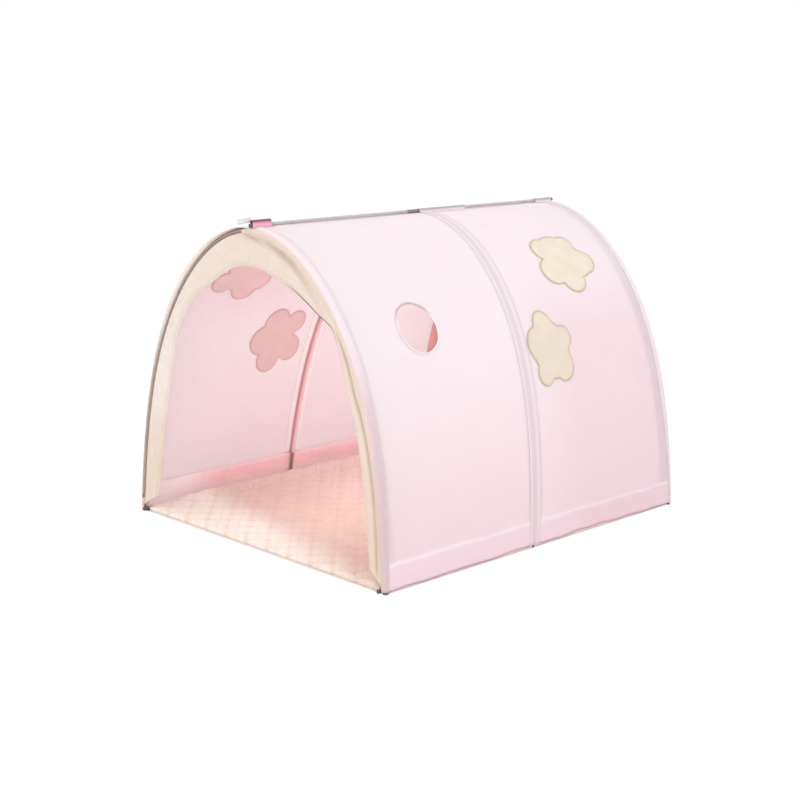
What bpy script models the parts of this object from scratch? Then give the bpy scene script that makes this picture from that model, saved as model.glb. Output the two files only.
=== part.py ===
"""Play tunnel: three arched rods under a cloth cover, with a ridge rod, two base rods,
a groundsheet and a quilted mat. Metres, X across, Y along the crawl way, Z up."""

import math

import bmesh
import bpy
from mathutils import Vector

# Driving dimensions
WIDTH = 1.020  # over the cover at the floor
HEIGHT = 0.870  # floor to the top of the cover
LENGTH = 1.193  # front face of the front sleeve to rear face of the rear sleeve

# Shape of the arch: how far its side runs in or out from a half ellipse
LEG_LEAN = -0.102
SHOULDER_FULLNESS = 0.225
CROWN_TIGHTNESS = -0.163
ARCH_SEGMENTS = 31  # an odd count leaves one level segment at the crown

# The middle hoop leans: forward at the floor and back at the crown
MIDDLE_BASE_Y = -0.033
MIDDLE_CROWN_Y = 0.042

# Rods
ROD_DIAMETER = 0.0085
ROD_SIDES = 8
FERRULE_WALL = 0.0006
FERRULE_LENGTH = 0.060
TIP_LENGTH = 0.018
TIP_FLOOR = 0.003
FOOT_DIAMETER = 0.015
FOOT_HEIGHT = 0.012
FOOT_FLOOR = 0.004
FOOT_SIDES = 16
ROD_JOINT_CLEARANCE = 0.0006  # between the ends of two rods in a ferrule
BASE_ROD_TO_FOOT = 0.0005

# Cloth
CLOTH = 0.0009
SEAT_GAP = 0.0003
COVER_SAG = 0.006  # dip of the cover halfway between two hoops
SAG_RUN_IN = 0.250  # arc length over which the dip grows above the groundsheet's wall
HEM_CLEARANCE = 0.010  # cover's lower edge above the floor
SLEEVE_FLANGE = 0.022  # each side of the middle hoop
SEAM_BAND_WIDTH = 0.042  # strip outside over the seam between the two covers
SEAM_BAND_TO_LOOP = 0.003  # clearance of the strip's end from the ridge loop's flange
EDGE_FLANGE = 0.038  # behind the front hoop
GROUNDSHEET_WALL = 0.075
GROUNDSHEET_RETURN = 0.0005  # clearance of the groundsheet round a corner foot
CHANNEL_SET_BACK = 0.014  # base rod channel's end behind the end hoop's line

# Facing round each opening
FACING_LEG_WIDTH = 0.062
FACING_CROWN_WIDTH = 0.106
FACING_SET_BACK = 0.020
FACING_FOOT_GAP = 0.002  # above the top of the foot
FACING_CORNER_RISE = 0.036

# Porthole, one in each cover
PORTHOLE_DIAMETER = 0.140
PORTHOLE_FROM_END = 0.259
PORTHOLE_ARC = 0.645  # along the hoop line from the floor
PORTHOLE_SIDES = 28
BINDING_WIDTH = 0.006

# Cloud patches, one pair on each cover, drawn as overlapping round puffs. A puff is its place
# along and up from the patch's centre and its radius, in shares of the patch's length and height
UPPER_PUFFS = (
    (-0.02, 0.18, 0.32),
    (0.18, 0.32, 0.15),
    (-0.23, 0.27, 0.20),
    (0.30, -0.02, 0.20),
    (-0.01, -0.29, 0.19),
    (-0.28, -0.10, 0.22),
    (0.15, 0.00, 0.27),
)
LOWER_PUFFS = (
    (-0.05, 0.30, 0.21),
    (0.33, 0.11, 0.16),
    (0.16, -0.25, 0.23),
    (-0.27, -0.34, 0.16),
    (-0.24, 0.05, 0.26),
    (-0.03, -0.02, 0.41),
)
PATCH_POINTS = 48
PATCH_SPARE = 0.008  # cloth round a patch's outline before it is cut
UPPER_PATCH_FROM_MIDDLE = 0.346
UPPER_PATCH_ARC = 0.7716
UPPER_PATCH_LENGTH = 0.236
UPPER_PATCH_HEIGHT = 0.204
LOWER_PATCH_FROM_MIDDLE = 0.1376
LOWER_PATCH_ARC = 0.531
LOWER_PATCH_LENGTH = 0.193
LOWER_PATCH_HEIGHT = 0.210
CUTTER_DEPTH = 0.030

# Ridge loops and rod ends
END_LOOP_LENGTH = 0.075
MIDDLE_LOOP_START = 0.015
MIDDLE_LOOP_LENGTH = 0.190
LOOP_FLANGE = 0.010
ROD_END_OVERHANG = 0.008  # ridge and base rod tips past the sleeves' faces

# Quilted mat
MAT_EASE = 0.0012
MAT_SET_BACK = 0.006
MAT_THICKNESS = 0.0165
MAT_EDGE = 0.009
MAT_UNDERCUT = 0.003
QUILT_PITCH = 0.060
QUILT_DEPTH = 0.006

STATION_MARGIN = 0.0035 * (WIDTH + HEIGHT) / 2  # least spacing of a ring from its neighbour
AXIS_MARK = LENGTH / 24  # drawn size of an axis

# Sizes that follow
ROD_RADIUS = ROD_DIAMETER / 2
SOCKET_RADIUS = ROD_RADIUS + SEAT_GAP
FERRULE_RADIUS = SOCKET_RADIUS + FERRULE_WALL
SLEEVE_BORE = FERRULE_RADIUS + SEAT_GAP
SLEEVE_RADIUS = SLEEVE_BORE + CLOTH
WALL_INSIDE = FERRULE_RADIUS + SEAT_GAP
WALL_OUTSIDE = WALL_INSIDE + CLOTH
FLANGE_INSIDE = WALL_OUTSIDE + SEAT_GAP
FLANGE_OUTSIDE = FLANGE_INSIDE + CLOTH
COVER_INSIDE = FLANGE_OUTSIDE + SEAT_GAP
COVER_OUTSIDE = COVER_INSIDE + CLOTH
PATCH_INSIDE = COVER_OUTSIDE + SEAT_GAP
PATCH_OUTSIDE = PATCH_INSIDE + CLOTH
END_HOOP_Y = LENGTH / 2 - SLEEVE_RADIUS
FLOOR_TOP = CLOTH + SEAT_GAP

PALETTE = {
    "glass_fibre": ((0.36, 0.31, 0.29), 0.45, 0.0),
    "steel": ((0.62, 0.62, 0.63), 0.30, 1.0),
    "rubber": ((0.05, 0.05, 0.055), 0.70, 0.0),
    "cover_cloth": ((0.95, 0.86, 0.88), 0.85, 0.0),
    "facing_cloth": ((0.88, 0.79, 0.68), 0.85, 0.0),
    "pink_cloth": ((0.88, 0.46, 0.52), 0.85, 0.0),
    "patch_cloth": ((0.86, 0.75, 0.60), 0.90, 0.0),
    "mat_cloth": ((0.88, 0.68, 0.58), 0.90, 0.0),
    "binding_tape": ((0.70, 0.66, 0.66), 0.80, 0.0),
}


class Arch:
    """The hoop line as one polyline, so that all that follows it has parallel facets."""

    def __init__(self):
        self.half_width = WIDTH / 2 - COVER_OUTSIDE
        self.height = HEIGHT - COVER_OUTSIDE
        samples = 3000
        angles = [math.pi * i / samples for i in range(samples + 1)]
        run = [0.0]
        for a, b in zip(angles, angles[1:]):
            run.append(run[-1] + (self.point(b) - self.point(a)).length)
        picked = []
        at = 0
        for k in range(ARCH_SEGMENTS + 1):
            wanted = run[-1] * k / ARCH_SEGMENTS
            while at < samples and run[at] < wanted:
                at += 1
            picked.append(angles[at])
        picked[-1] = math.pi
        half = len(picked) // 2
        for k in range(half):
            picked[-1 - k] = math.pi - picked[k]
        self.points = [self.point(a) for a in picked]
        self.normals = [self.normal(a) for a in picked]
        self.stations = [0.0]
        for a, b in zip(self.points, self.points[1:]):
            self.stations.append(self.stations[-1] + (b - a).length)
        self.total = self.stations[-1]

    def point(self, angle):
        """Centre of the rod at an angle from the right foot, as (x, z)."""
        u = math.sin(angle)
        swell = 1 + LEG_LEAN * u + SHOULDER_FULLNESS * u**2 + CROWN_TIGHTNESS * u**4
        return Vector((self.half_width * math.cos(angle) * swell, self.height * u))

    def normal(self, angle):
        """Outward direction there."""
        step = 1e-4
        tangent = (self.point(angle + step) - self.point(angle - step)).normalized()
        return Vector((tangent.y, -tangent.x))

    def segment(self, arc):
        for i in range(ARCH_SEGMENTS):
            if arc <= self.stations[i + 1] or i == ARCH_SEGMENTS - 1:
                length = self.stations[i + 1] - self.stations[i]
                return i, (arc - self.stations[i]) / length

    def place(self, arc, along, out):
        """World point at an arc length, a distance along Y and a distance out from the rod."""
        i, share = self.segment(arc)
        low = self.points[i] + self.normals[i] * out
        high = self.points[i + 1] + self.normals[i + 1] * out
        spot = low.lerp(high, share)
        return Vector((spot.x, along, spot.y))

    def frame(self, arc):
        """Tangent and outward normal of the facet at an arc length."""
        i, _ = self.segment(arc)
        step = self.points[i + 1] - self.points[i]
        tangent = Vector((step.x, 0, step.y)).normalized()
        return tangent, Vector((tangent.z, 0, -tangent.x))

    def between(self, start, end):
        """Arc lengths from start to end, with the stations between them."""
        low, high = start + STATION_MARGIN, end - STATION_MARGIN
        inner = [s for s in self.stations if low < s < high]
        return [start, *inner, end]

    def arc_at_height(self, height):
        """Arc length on the right leg where the rod's centre is at that height."""
        for i in range(ARCH_SEGMENTS):
            low, high = self.points[i].y, self.points[i + 1].y
            if low <= height <= high:
                share = (height - low) / (high - low)
                step = self.stations[i + 1] - self.stations[i]
                return self.stations[i] + share * step
        raise ValueError("height above the arch")

    def crown(self, out):
        """Height of the level segment at the crown."""
        return self.place(self.total / 2, 0, out).z


ARCH = Arch()


def remove_everything():
    for old in list(bpy.data.objects):
        bpy.data.objects.remove(old, do_unlink=True)


def make_finish(name, kind):
    colour, roughness, metallic = PALETTE[kind]
    finish = bpy.data.materials.new(name + "_finish")
    finish.use_nodes = True
    shader = finish.node_tree.nodes["Principled BSDF"]
    shader.inputs["Base Color"].default_value = (*colour, 1)
    shader.inputs["Roughness"].default_value = roughness
    shader.inputs["Metallic"].default_value = metallic
    finish.diffuse_color = (*colour, 1)
    return finish


def add_piece(name, bm, kind, parent=None, location=(0, 0, 0), turn=0.0):
    """Turns a bmesh into a named object with its own finish."""
    bmesh.ops.recalc_face_normals(bm, faces=bm.faces)
    mesh = bpy.data.meshes.new(name)
    bm.to_mesh(mesh)
    bm.free()
    mesh.shade_smooth()
    mesh.set_sharp_from_angle(angle=math.radians(30))
    mesh.materials.append(make_finish(name, kind))
    piece = bpy.data.objects.new(name, mesh)
    piece.location = location
    piece.rotation_euler.z = turn
    piece.parent = parent
    bpy.context.scene.collection.objects.link(piece)
    return piece


def add_empty(name, location=(0, 0, 0), turn=0.0):
    empty = bpy.data.objects.new(name, None)
    empty.location = location
    empty.rotation_euler.z = turn
    empty.empty_display_size = AXIS_MARK
    bpy.context.scene.collection.objects.link(empty)
    return empty


def add_cutter(name, bm, parent):
    cutter = add_piece(name, bm, "steel", parent)
    cutter.hide_render = True
    cutter.display_type = "WIRE"
    return cutter


def add_boolean(piece, cutter, operation):
    cut = piece.modifiers.new("cut", "BOOLEAN")
    cut.operation = operation
    cut.solver = "EXACT"
    cut.object = cutter


def loft(rings, closed=False):
    """A solid through rings of points. Its ends are filled, or joined where closed."""
    bm = bmesh.new()
    rows = [[bm.verts.new(p) for p in ring] for ring in rings]
    pairs = list(zip(rows, rows[1:]))
    if closed:
        pairs.append((rows[-1], rows[0]))
    count = len(rings[0])
    for low, high in pairs:
        for i in range(count):
            j = (i + 1) % count
            bm.faces.new((low[i], low[j], high[j], high[i]))
    if not closed:
        bm.faces.new(rows[0])
        bm.faces.new(rows[-1])
    return bm


def circle(radius, sides):
    return [
        (radius * math.cos(2 * math.pi * k / sides), radius * math.sin(2 * math.pi * k / sides))
        for k in range(sides)
    ]


def arch_ring(arc, section, along=0.0):
    return [ARCH.place(arc, along + v, n) for v, n in section]


def straight_ring(y, section):
    return [Vector((x, y, z)) for x, z in section]


def settle(ring, arc, height):
    """Slides a ring's points along the rod until they lie level at a height."""
    tangent, _ = ARCH.frame(arc)
    return [p + tangent * ((height - p.z) / tangent.z) for p in ring]


def omega_section(bore, drop, flange):
    """A cloth tunnel with its hump up, open below: legs down to -drop, then a flange each way."""
    wall = bore + CLOTH
    turns = [math.pi * k / 4 for k in range(5)]
    outer = [(wall * math.cos(t), wall * math.sin(t)) for t in turns]
    inner = [(bore * math.cos(t), bore * math.sin(t)) for t in reversed(turns)]
    if not flange:
        return [(wall, -drop), *outer, (-wall, -drop), (-bore, -drop), *inner, (bore, -drop)]
    foot = -drop + CLOTH
    reach = wall + flange
    right = [(bore, -drop), (reach, -drop), (reach, foot), (wall, foot)]
    left = [(-wall, foot), (-reach, foot), (-reach, -drop), (-bore, -drop)]
    return [*right, *outer, *left, *inner]


def edge_sleeve_section():
    """The end hoop's sleeve: a flange under the cover, then round the rod to its outer front."""
    turns = [-math.pi * k / 4 for k in range(6)]
    outer = [(SLEEVE_RADIUS * math.cos(t), SLEEVE_RADIUS * math.sin(t)) for t in turns]
    inner = [(SLEEVE_BORE * math.cos(t), SLEEVE_BORE * math.sin(t)) for t in reversed(turns)]
    flange = [
        (SLEEVE_BORE, FLANGE_OUTSIDE),
        (EDGE_FLANGE, FLANGE_OUTSIDE),
        (EDGE_FLANGE, FLANGE_INSIDE),
        (SLEEVE_RADIUS, FLANGE_INSIDE),
    ]
    return [*flange, *outer, *inner]


def facing_width(arc):
    rise = math.sin(math.pi * arc / ARCH.total) ** 2
    return FACING_LEG_WIDTH + (FACING_CROWN_WIDTH - FACING_LEG_WIDTH) * rise


def cover_columns():
    """Y positions of the front cover's columns, from the end hoop to the middle seam."""
    start = -END_HOOP_Y
    flat_end = start + EDGE_FLANGE
    seam = -SEAT_GAP / 2
    flat_start = seam - SLEEVE_RADIUS - SLEEVE_FLANGE
    spans = 4
    middle = [flat_end + (flat_start - flat_end) * k / spans for k in range(spans + 1)]
    return [start, *middle, seam]


COLUMNS = cover_columns()


def sag_along(y):
    """Share of the dip at a place between the hoops, straight between columns."""
    def exact(c):
        low, high = COLUMNS[1], COLUMNS[-2]
        share = min(max((c - low) / (high - low), 0), 1)
        return math.sin(math.pi * share) ** 2

    for a, b in zip(COLUMNS, COLUMNS[1:]):
        if y <= b:
            return exact(a) + (exact(b) - exact(a)) * (y - a) / (b - a)
    return 0.0


def sag_up(arc):
    """Share of the dip at an arc length: none beside the groundsheet's wall."""
    def exact(s):
        above = min(s, ARCH.total - s) - WALL_TOP
        share = min(max(above / SAG_RUN_IN, 0), 1)
        return share * share * (3 - 2 * share)

    i, share = ARCH.segment(arc)
    low, high = ARCH.stations[i], ARCH.stations[i + 1]
    return exact(low) + (exact(high) - exact(low)) * share


def cloth_ring(arc, columns, inside, outside):
    def point(y, out):
        return ARCH.place(arc, y, out - COVER_SAG * sag_along(y) * sag_up(arc))

    top = [point(y, outside) for y in columns]
    return [*top, *[point(y, inside) for y in reversed(columns)]]


def columns_between(low, high):
    inner = [c for c in COLUMNS if low + STATION_MARGIN < c < high - STATION_MARGIN]
    return [low, *inner, high]


def follow_middle_hoop(bm, facing=1):
    """Leans a piece with the middle hoop: wholly at the hoop, not at all at an end hoop.
    A piece of the rear half is built turned round, with facing -1."""
    near = SLEEVE_RADIUS + SLEEVE_FLANGE + SEAT_GAP / 2
    far = END_HOOP_Y - EDGE_FLANGE
    for vert in bm.verts:
        pull = 1 - min(max((abs(vert.co.y) - near) / (far - near), 0), 1)
        lean = MIDDLE_BASE_Y + (MIDDLE_CROWN_Y - MIDDLE_BASE_Y) * vert.co.z / HEIGHT
        vert.co.y += facing * pull * lean
    return bm


WALL_TOP = ARCH.arc_at_height(GROUNDSHEET_WALL)
HEM_ARC = ARCH.arc_at_height(HEM_CLEARANCE)
FOOT_TOP = FOOT_HEIGHT
FOOT_X = ARCH.place(0, 0, 0).x
BASE_ROD_X = FOOT_X - FOOT_DIAMETER / 2 - BASE_ROD_TO_FOOT - FERRULE_RADIUS
BASE_ROD_Z = FLOOR_TOP + FERRULE_RADIUS
RIDGE_Z = ARCH.crown(COVER_OUTSIDE) + SEAT_GAP + FERRULE_RADIUS


def build_hoop(place, y, foot_height):
    """Three rods on one arch, joined by two ferrules."""

    def finish(bm):
        return follow_middle_hoop(bm) if place == "middle" else bm

    joints = [ARCH.total / 3, ARCH.total * 2 / 3]
    rod = circle(ROD_RADIUS, ROD_SIDES)
    gap = ROD_JOINT_CLEARANCE / 2
    spans = {
        "right_rod": (foot_height, joints[0] - gap),
        "crown_rod": (joints[0] + gap, joints[1] - gap),
        "left_rod": (joints[1] + gap, ARCH.total - foot_height),
    }
    for part, (start, end) in spans.items():
        rings = [arch_ring(s, rod) for s in ARCH.between(start, end)]
        bm = finish(loft(rings))
        add_piece(f"{place}_hoop_{part}", bm, "glass_fibre", location=(0, y, 0))
    for side, joint in zip(("right", "left"), joints):
        stops = ARCH.between(joint - FERRULE_LENGTH / 2, joint + FERRULE_LENGTH / 2)
        outer = [arch_ring(s, circle(FERRULE_RADIUS, ROD_SIDES)) for s in stops]
        inner = [arch_ring(s, circle(SOCKET_RADIUS, ROD_SIDES)) for s in reversed(stops)]
        bm = finish(loft([*outer, *inner], closed=True))
        add_piece(f"{place}_hoop_{side}_ferrule", bm, "steel", location=(0, y, 0))


def build_hoop_foot(name, y, left, radius, sides, base, floor, top):
    """A cup on a hoop's end, level below, that stands at the height base."""
    outer, socket = circle(radius, sides), circle(SOCKET_RADIUS, sides)

    def ring(arc, section):
        return arch_ring(arc, section)

    rings = [settle(ring(base, outer), base, base), ring(top, outer), ring(top, socket)]
    rings.append(ring(floor, socket))
    side = -1 if left else 1
    bm = loft([[Vector((p.x * side, p.y, p.z)) for p in r] for r in rings])
    if not y:
        follow_middle_hoop(bm)
    add_piece(name, bm, "rubber", location=(0, y, 0))


def build_frame():
    foot_rod = FOOT_FLOOR + SEAT_GAP
    tip_rod = FLOOR_TOP + TIP_FLOOR + SEAT_GAP
    build_hoop("front", -END_HOOP_Y, foot_rod)
    build_hoop("middle", 0, tip_rod)
    build_hoop("rear", END_HOOP_Y, foot_rod)
    for side in ("left", "right"):
        for place, y in (("front", -END_HOOP_Y), ("rear", END_HOOP_Y)):
            build_hoop_foot(
                f"{place}_{side}_foot",
                y,
                side == "left",
                FOOT_DIAMETER / 2,
                FOOT_SIDES,
                0.0,
                FOOT_FLOOR,
                FOOT_TOP,
            )
        build_hoop_foot(
            f"middle_{side}_tip",
            0,
            side == "left",
            FERRULE_RADIUS,
            ROD_SIDES,
            FLOOR_TOP,
            FLOOR_TOP + TIP_FLOOR,
            FLOOR_TOP + TIP_LENGTH,
        )


def build_straight_rod(name, x, z):
    """Two rods in line with a ferrule and two tips, on an empty at the middle of their axis."""
    axis = add_empty(f"{name}_axis", (x, 0, z))
    rod = circle(ROD_RADIUS, ROD_SIDES)
    ferrule = circle(FERRULE_RADIUS, ROD_SIDES)
    socket = circle(SOCKET_RADIUS, ROD_SIDES)
    end = LENGTH / 2 + ROD_END_OVERHANG
    rod_end = end - TIP_FLOOR - SEAT_GAP
    gap = ROD_JOINT_CLEARANCE / 2
    for half, sign in (("front", -1), ("rear", 1)):
        bm = loft([straight_ring(sign * y, rod) for y in (gap, rod_end)])
        add_piece(f"{name}_{half}_half", bm, "glass_fibre", axis)
        rings = [
            straight_ring(sign * end, ferrule),
            straight_ring(sign * (end - TIP_LENGTH), ferrule),
            straight_ring(sign * (end - TIP_LENGTH), socket),
            straight_ring(sign * (end - TIP_FLOOR), socket),
        ]
        add_piece(f"{name}_{half}_tip", loft(rings), "rubber", axis)
    reach = FERRULE_LENGTH / 2
    rings = [straight_ring(-reach, socket), straight_ring(-reach, ferrule)]
    rings += [straight_ring(reach, ferrule), straight_ring(reach, socket)]
    add_piece(f"{name}_ferrule", loft(rings, closed=True), "steel", axis)


def build_ridge_loops():
    section = omega_section(SLEEVE_BORE, FERRULE_RADIUS, LOOP_FLANGE)
    end = LENGTH / 2
    spans = {
        "front": (-end, -end + END_LOOP_LENGTH),
        "middle": (MIDDLE_LOOP_START, MIDDLE_LOOP_START + MIDDLE_LOOP_LENGTH),
        "rear": (end - END_LOOP_LENGTH, end),
    }
    for place, (low, high) in spans.items():
        centre = (low + high) / 2
        rings = [straight_ring(y - centre, section) for y in (low, high)]
        spot = (0, centre, RIDGE_Z)
        add_piece(f"{place}_ridge_loop", loft(rings), "pink_cloth", location=spot)


def build_base_channels():
    section = omega_section(SLEEVE_BORE, FERRULE_RADIUS, 0)
    reach = END_HOOP_Y - CHANNEL_SET_BACK
    for side, sign in (("left", -1), ("right", 1)):
        rings = [straight_ring(y, section) for y in (-reach, reach)]
        spot = (sign * BASE_ROD_X, 0, BASE_ROD_Z)
        add_piece(f"{side}_base_channel", loft(rings), "pink_cloth", location=spot)


def build_middle_sleeve():
    section = omega_section(SLEEVE_BORE, FLANGE_OUTSIDE, SLEEVE_FLANGE)
    section = [(v, -n) for v, n in section]
    start = WALL_TOP + SEAT_GAP
    rings = [arch_ring(s, section) for s in ARCH.between(start, ARCH.total - start)]
    add_piece("middle_sleeve", follow_middle_hoop(loft(rings)), "pink_cloth")


def build_seam_bands():
    """A strip up each side, from the hem to the ridge loop, over the covers' seam."""
    edge = SEAM_BAND_WIDTH / 2
    section = [(-edge, PATCH_INSIDE), (edge, PATCH_INSIDE), (edge, PATCH_OUTSIDE)]
    section.append((-edge, PATCH_OUTSIDE))
    top = ARCH.total / 2 - SLEEVE_RADIUS - LOOP_FLANGE - SEAM_BAND_TO_LOOP
    spans = {"right": (HEM_ARC, top), "left": (ARCH.total - top, ARCH.total - HEM_ARC)}
    for side, (low, high) in spans.items():
        rings = [arch_ring(s, section) for s in ARCH.between(low, high)]
        add_piece(f"{side}_seam_band", follow_middle_hoop(loft(rings)), "cover_cloth")


def build_end_sleeve(name, half):
    section = edge_sleeve_section()
    start = FOOT_TOP + SEAT_GAP
    rings = [arch_ring(s, section, -END_HOOP_Y) for s in ARCH.between(start, ARCH.total - start)]
    add_piece(name, loft(rings), "facing_cloth", half)


def build_facing(name, half):
    """The flat band round an opening. Its lower corners rise towards the opening."""
    outer = SLEEVE_RADIUS + SEAT_GAP
    back = -END_HOOP_Y
    thick = CLOTH / 2
    start = FOOT_TOP + FACING_FOOT_GAP

    def ring(arc, rise):
        width = facing_width(arc)
        points = []
        for share, skin in ((0, -1), (0.5, -1), (1, -1), (1, 1), (0.5, 1), (0, 1)):
            lift = arc + rise * share
            out = -(outer + (width - outer) * share)
            points.append(ARCH.place(lift, back + FACING_SET_BACK * share + skin * thick, out))
        return points

    clear = start + FACING_CORNER_RISE
    inner = [s for s in ARCH.stations if clear * 1.1 < s < ARCH.total - clear * 1.1]
    rings = [ring(start, FACING_CORNER_RISE)]
    rings += [ring(s, 0) for s in inner]
    rings.append(ring(ARCH.total - start, -FACING_CORNER_RISE))
    add_piece(name, loft(rings), "facing_cloth", half)


def cloth_patch(arc, y, reach, facing):
    """A piece of the cover's shape on top of it, before it is cut to its outline."""
    spare = max(abs(MIDDLE_BASE_Y), abs(MIDDLE_CROWN_Y))
    columns = columns_between(y - reach - spare, y + reach + spare)
    arcs = ARCH.between(arc - reach, arc + reach)
    rings = [cloth_ring(s, columns, PATCH_INSIDE, PATCH_OUTSIDE) for s in arcs]
    return follow_middle_hoop(loft(rings), facing)


def outline_prism(arc, y, outline):
    """A cutter square to the cover: outline points are (along Y, up the arch)."""
    tangent, normal = ARCH.frame(arc)
    centre = ARCH.place(arc, y, COVER_OUTSIDE)
    rings = []
    for depth in (-CUTTER_DEPTH, CUTTER_DEPTH):
        base = centre + normal * depth
        rings.append([base + Vector((0, a, 0)) + tangent * b for a, b in outline])
    return rings


def cloud_outline(puffs, length, height):
    """The outer line of the puffs, seen from the patch's centre."""
    points = []
    for k in range(PATCH_POINTS):
        t = 2 * math.pi * k / PATCH_POINTS
        ray = Vector((math.cos(t), math.sin(t)))
        reach = 0.0
        for across, up, radius in puffs:
            centre = Vector((across, up))
            ahead = centre.dot(ray)
            off = centre.length_squared - ahead**2
            if off < radius**2:
                reach = max(reach, ahead + math.sqrt(radius**2 - off))
        points.append((ray.x * reach * length, ray.y * reach * height))
    return points


def build_cover(place, half, facing):
    """One cover panel, its porthole and that porthole's binding."""
    arcs = ARCH.between(HEM_ARC, ARCH.total - HEM_ARC)
    bm = loft([cloth_ring(s, COLUMNS, COVER_INSIDE, COVER_OUTSIDE) for s in arcs])
    follow_middle_hoop(bm, facing)
    cover = add_piece(f"{place}_cover", bm, "cover_cloth", half)
    y = -LENGTH / 2 + PORTHOLE_FROM_END
    radius = PORTHOLE_DIAMETER / 2
    hole = circle(radius, PORTHOLE_SIDES)
    rings = outline_prism(PORTHOLE_ARC, y, hole)
    add_boolean(cover, add_cutter(f"{place}_porthole_cutter", loft(rings), half), "DIFFERENCE")
    rim = circle(radius + BINDING_WIDTH, PORTHOLE_SIDES)
    low, high = outline_prism(PORTHOLE_ARC, y, rim)
    rings = [rings[0], low, high, rings[1]]
    cutter = add_cutter(f"{place}_binding_cutter", loft(rings, closed=True), half)
    bm = cloth_patch(PORTHOLE_ARC, y, radius + BINDING_WIDTH + PATCH_SPARE, facing)
    binding = add_piece(f"{place}_porthole_binding", bm, "binding_tape", half)
    add_boolean(binding, cutter, "INTERSECT")


def build_clouds(place, half, facing):
    """The two cloud patches of one cover, on the side away from its porthole."""
    patches = {
        "upper": (
            UPPER_PATCH_FROM_MIDDLE,
            UPPER_PATCH_ARC,
            UPPER_PATCH_LENGTH,
            UPPER_PATCH_HEIGHT,
            UPPER_PUFFS,
        ),
        "lower": (
            LOWER_PATCH_FROM_MIDDLE,
            LOWER_PATCH_ARC,
            LOWER_PATCH_LENGTH,
            LOWER_PATCH_HEIGHT,
            LOWER_PUFFS,
        ),
    }
    for level, (from_middle, arc, length, height, puffs) in patches.items():
        spot = ARCH.total - arc
        outline = [(-a, -b) for a, b in cloud_outline(puffs, length, height)]
        bm = cloth_patch(spot, -from_middle, max(length, height) / 2 + PATCH_SPARE, facing)
        cloud = add_piece(f"{place}_{level}_cloud", bm, "patch_cloth", half)
        rings = outline_prism(spot, -from_middle, outline)
        cutter = add_cutter(f"{place}_{level}_cloud_cutter", loft(rings), half)
        add_boolean(cloud, cutter, "INTERSECT")


def build_groundsheet():
    """A tray: a floor with a wall up each side, cut back round the four corner feet."""
    arcs = ARCH.between(0, WALL_TOP)
    outer = [ARCH.place(s, 0, WALL_OUTSIDE) for s in arcs]
    inner = [ARCH.place(s, 0, WALL_INSIDE) for s in arcs]
    outer[0].z = 0
    inner[0].z = CLOTH
    right = [(p.x, p.z) for p in outer] + [(p.x, p.z) for p in reversed(inner)]
    left = [(-x, z) for x, z in reversed(right)]
    section = [*right, *left]
    rings = [straight_ring(y, section) for y in (-LENGTH / 2, LENGTH / 2)]
    sheet = add_piece("groundsheet", loft(rings), "pink_cloth")
    clear = FOOT_DIAMETER / 2 + GROUNDSHEET_RETURN
    bm = bmesh.new()
    for x_sign in (-1, 1):
        for y_sign in (-1, 1):
            made = bmesh.ops.create_cube(bm, size=1)["verts"]
            low = Vector((FOOT_X - clear, END_HOOP_Y - clear, -GROUNDSHEET_WALL))
            high = Vector((WIDTH, LENGTH, 2 * GROUNDSHEET_WALL))
            size, centre = high - low, (low + high) / 2
            bmesh.ops.scale(bm, vec=size, verts=made)
            spot = (x_sign * centre.x, y_sign * centre.y, centre.z)
            bmesh.ops.translate(bm, vec=spot, verts=made)
    add_boolean(sheet, add_cutter("groundsheet_cutter", bm, None), "DIFFERENCE")


def build_mat():
    """A pad sewn in diamonds: crossings and seams lie low, the middle of each diamond stands up."""
    width = 2 * (BASE_ROD_X - SLEEVE_RADIUS - MAT_EASE)
    length = LENGTH - 2 * MAT_SET_BACK
    cell = QUILT_PITCH / math.sqrt(2)
    across = 2 * round(width / cell / 2)
    along = 2 * round(length / cell / 2)
    bm = bmesh.new()
    top = {}
    for i in range(across + 1):
        for j in range(along + 1):
            edge = i in (0, across) or j in (0, along)
            low = MAT_THICKNESS - QUILT_DEPTH
            z = MAT_EDGE if edge else (low if (i + j) % 2 == 0 else MAT_THICKNESS)
            x = width * (i / across - 0.5)
            y = length * (j / along - 0.5)
            top[i, j] = bm.verts.new((x, y, z))
    for i in range(across):
        for j in range(along):
            a, b, c, d = top[i, j], top[i + 1, j], top[i + 1, j + 1], top[i, j + 1]
            if (i + j) % 2 == 0:
                bm.faces.new((a, b, c))
                bm.faces.new((a, c, d))
            else:
                bm.faces.new((a, b, d))
                bm.faces.new((b, c, d))
    rim = [top[i, 0] for i in range(across)]
    rim += [top[across, j] for j in range(along)]
    rim += [top[i, along] for i in range(across, 0, -1)]
    rim += [top[0, j] for j in range(along, 0, -1)]
    shrink_x = 1 - 2 * MAT_UNDERCUT / width
    shrink_y = 1 - 2 * MAT_UNDERCUT / length
    foot = [bm.verts.new((v.co.x * shrink_x, v.co.y * shrink_y, 0)) for v in rim]
    for k in range(len(rim)):
        m = (k + 1) % len(rim)
        bm.faces.new((rim[m], rim[k], foot[k], foot[m]))
    bm.faces.new(foot)
    axis = add_empty("mat_slide_axis", (0, 0, FLOOR_TOP))
    add_piece("quilted_mat", bm, "mat_cloth", axis)


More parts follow.
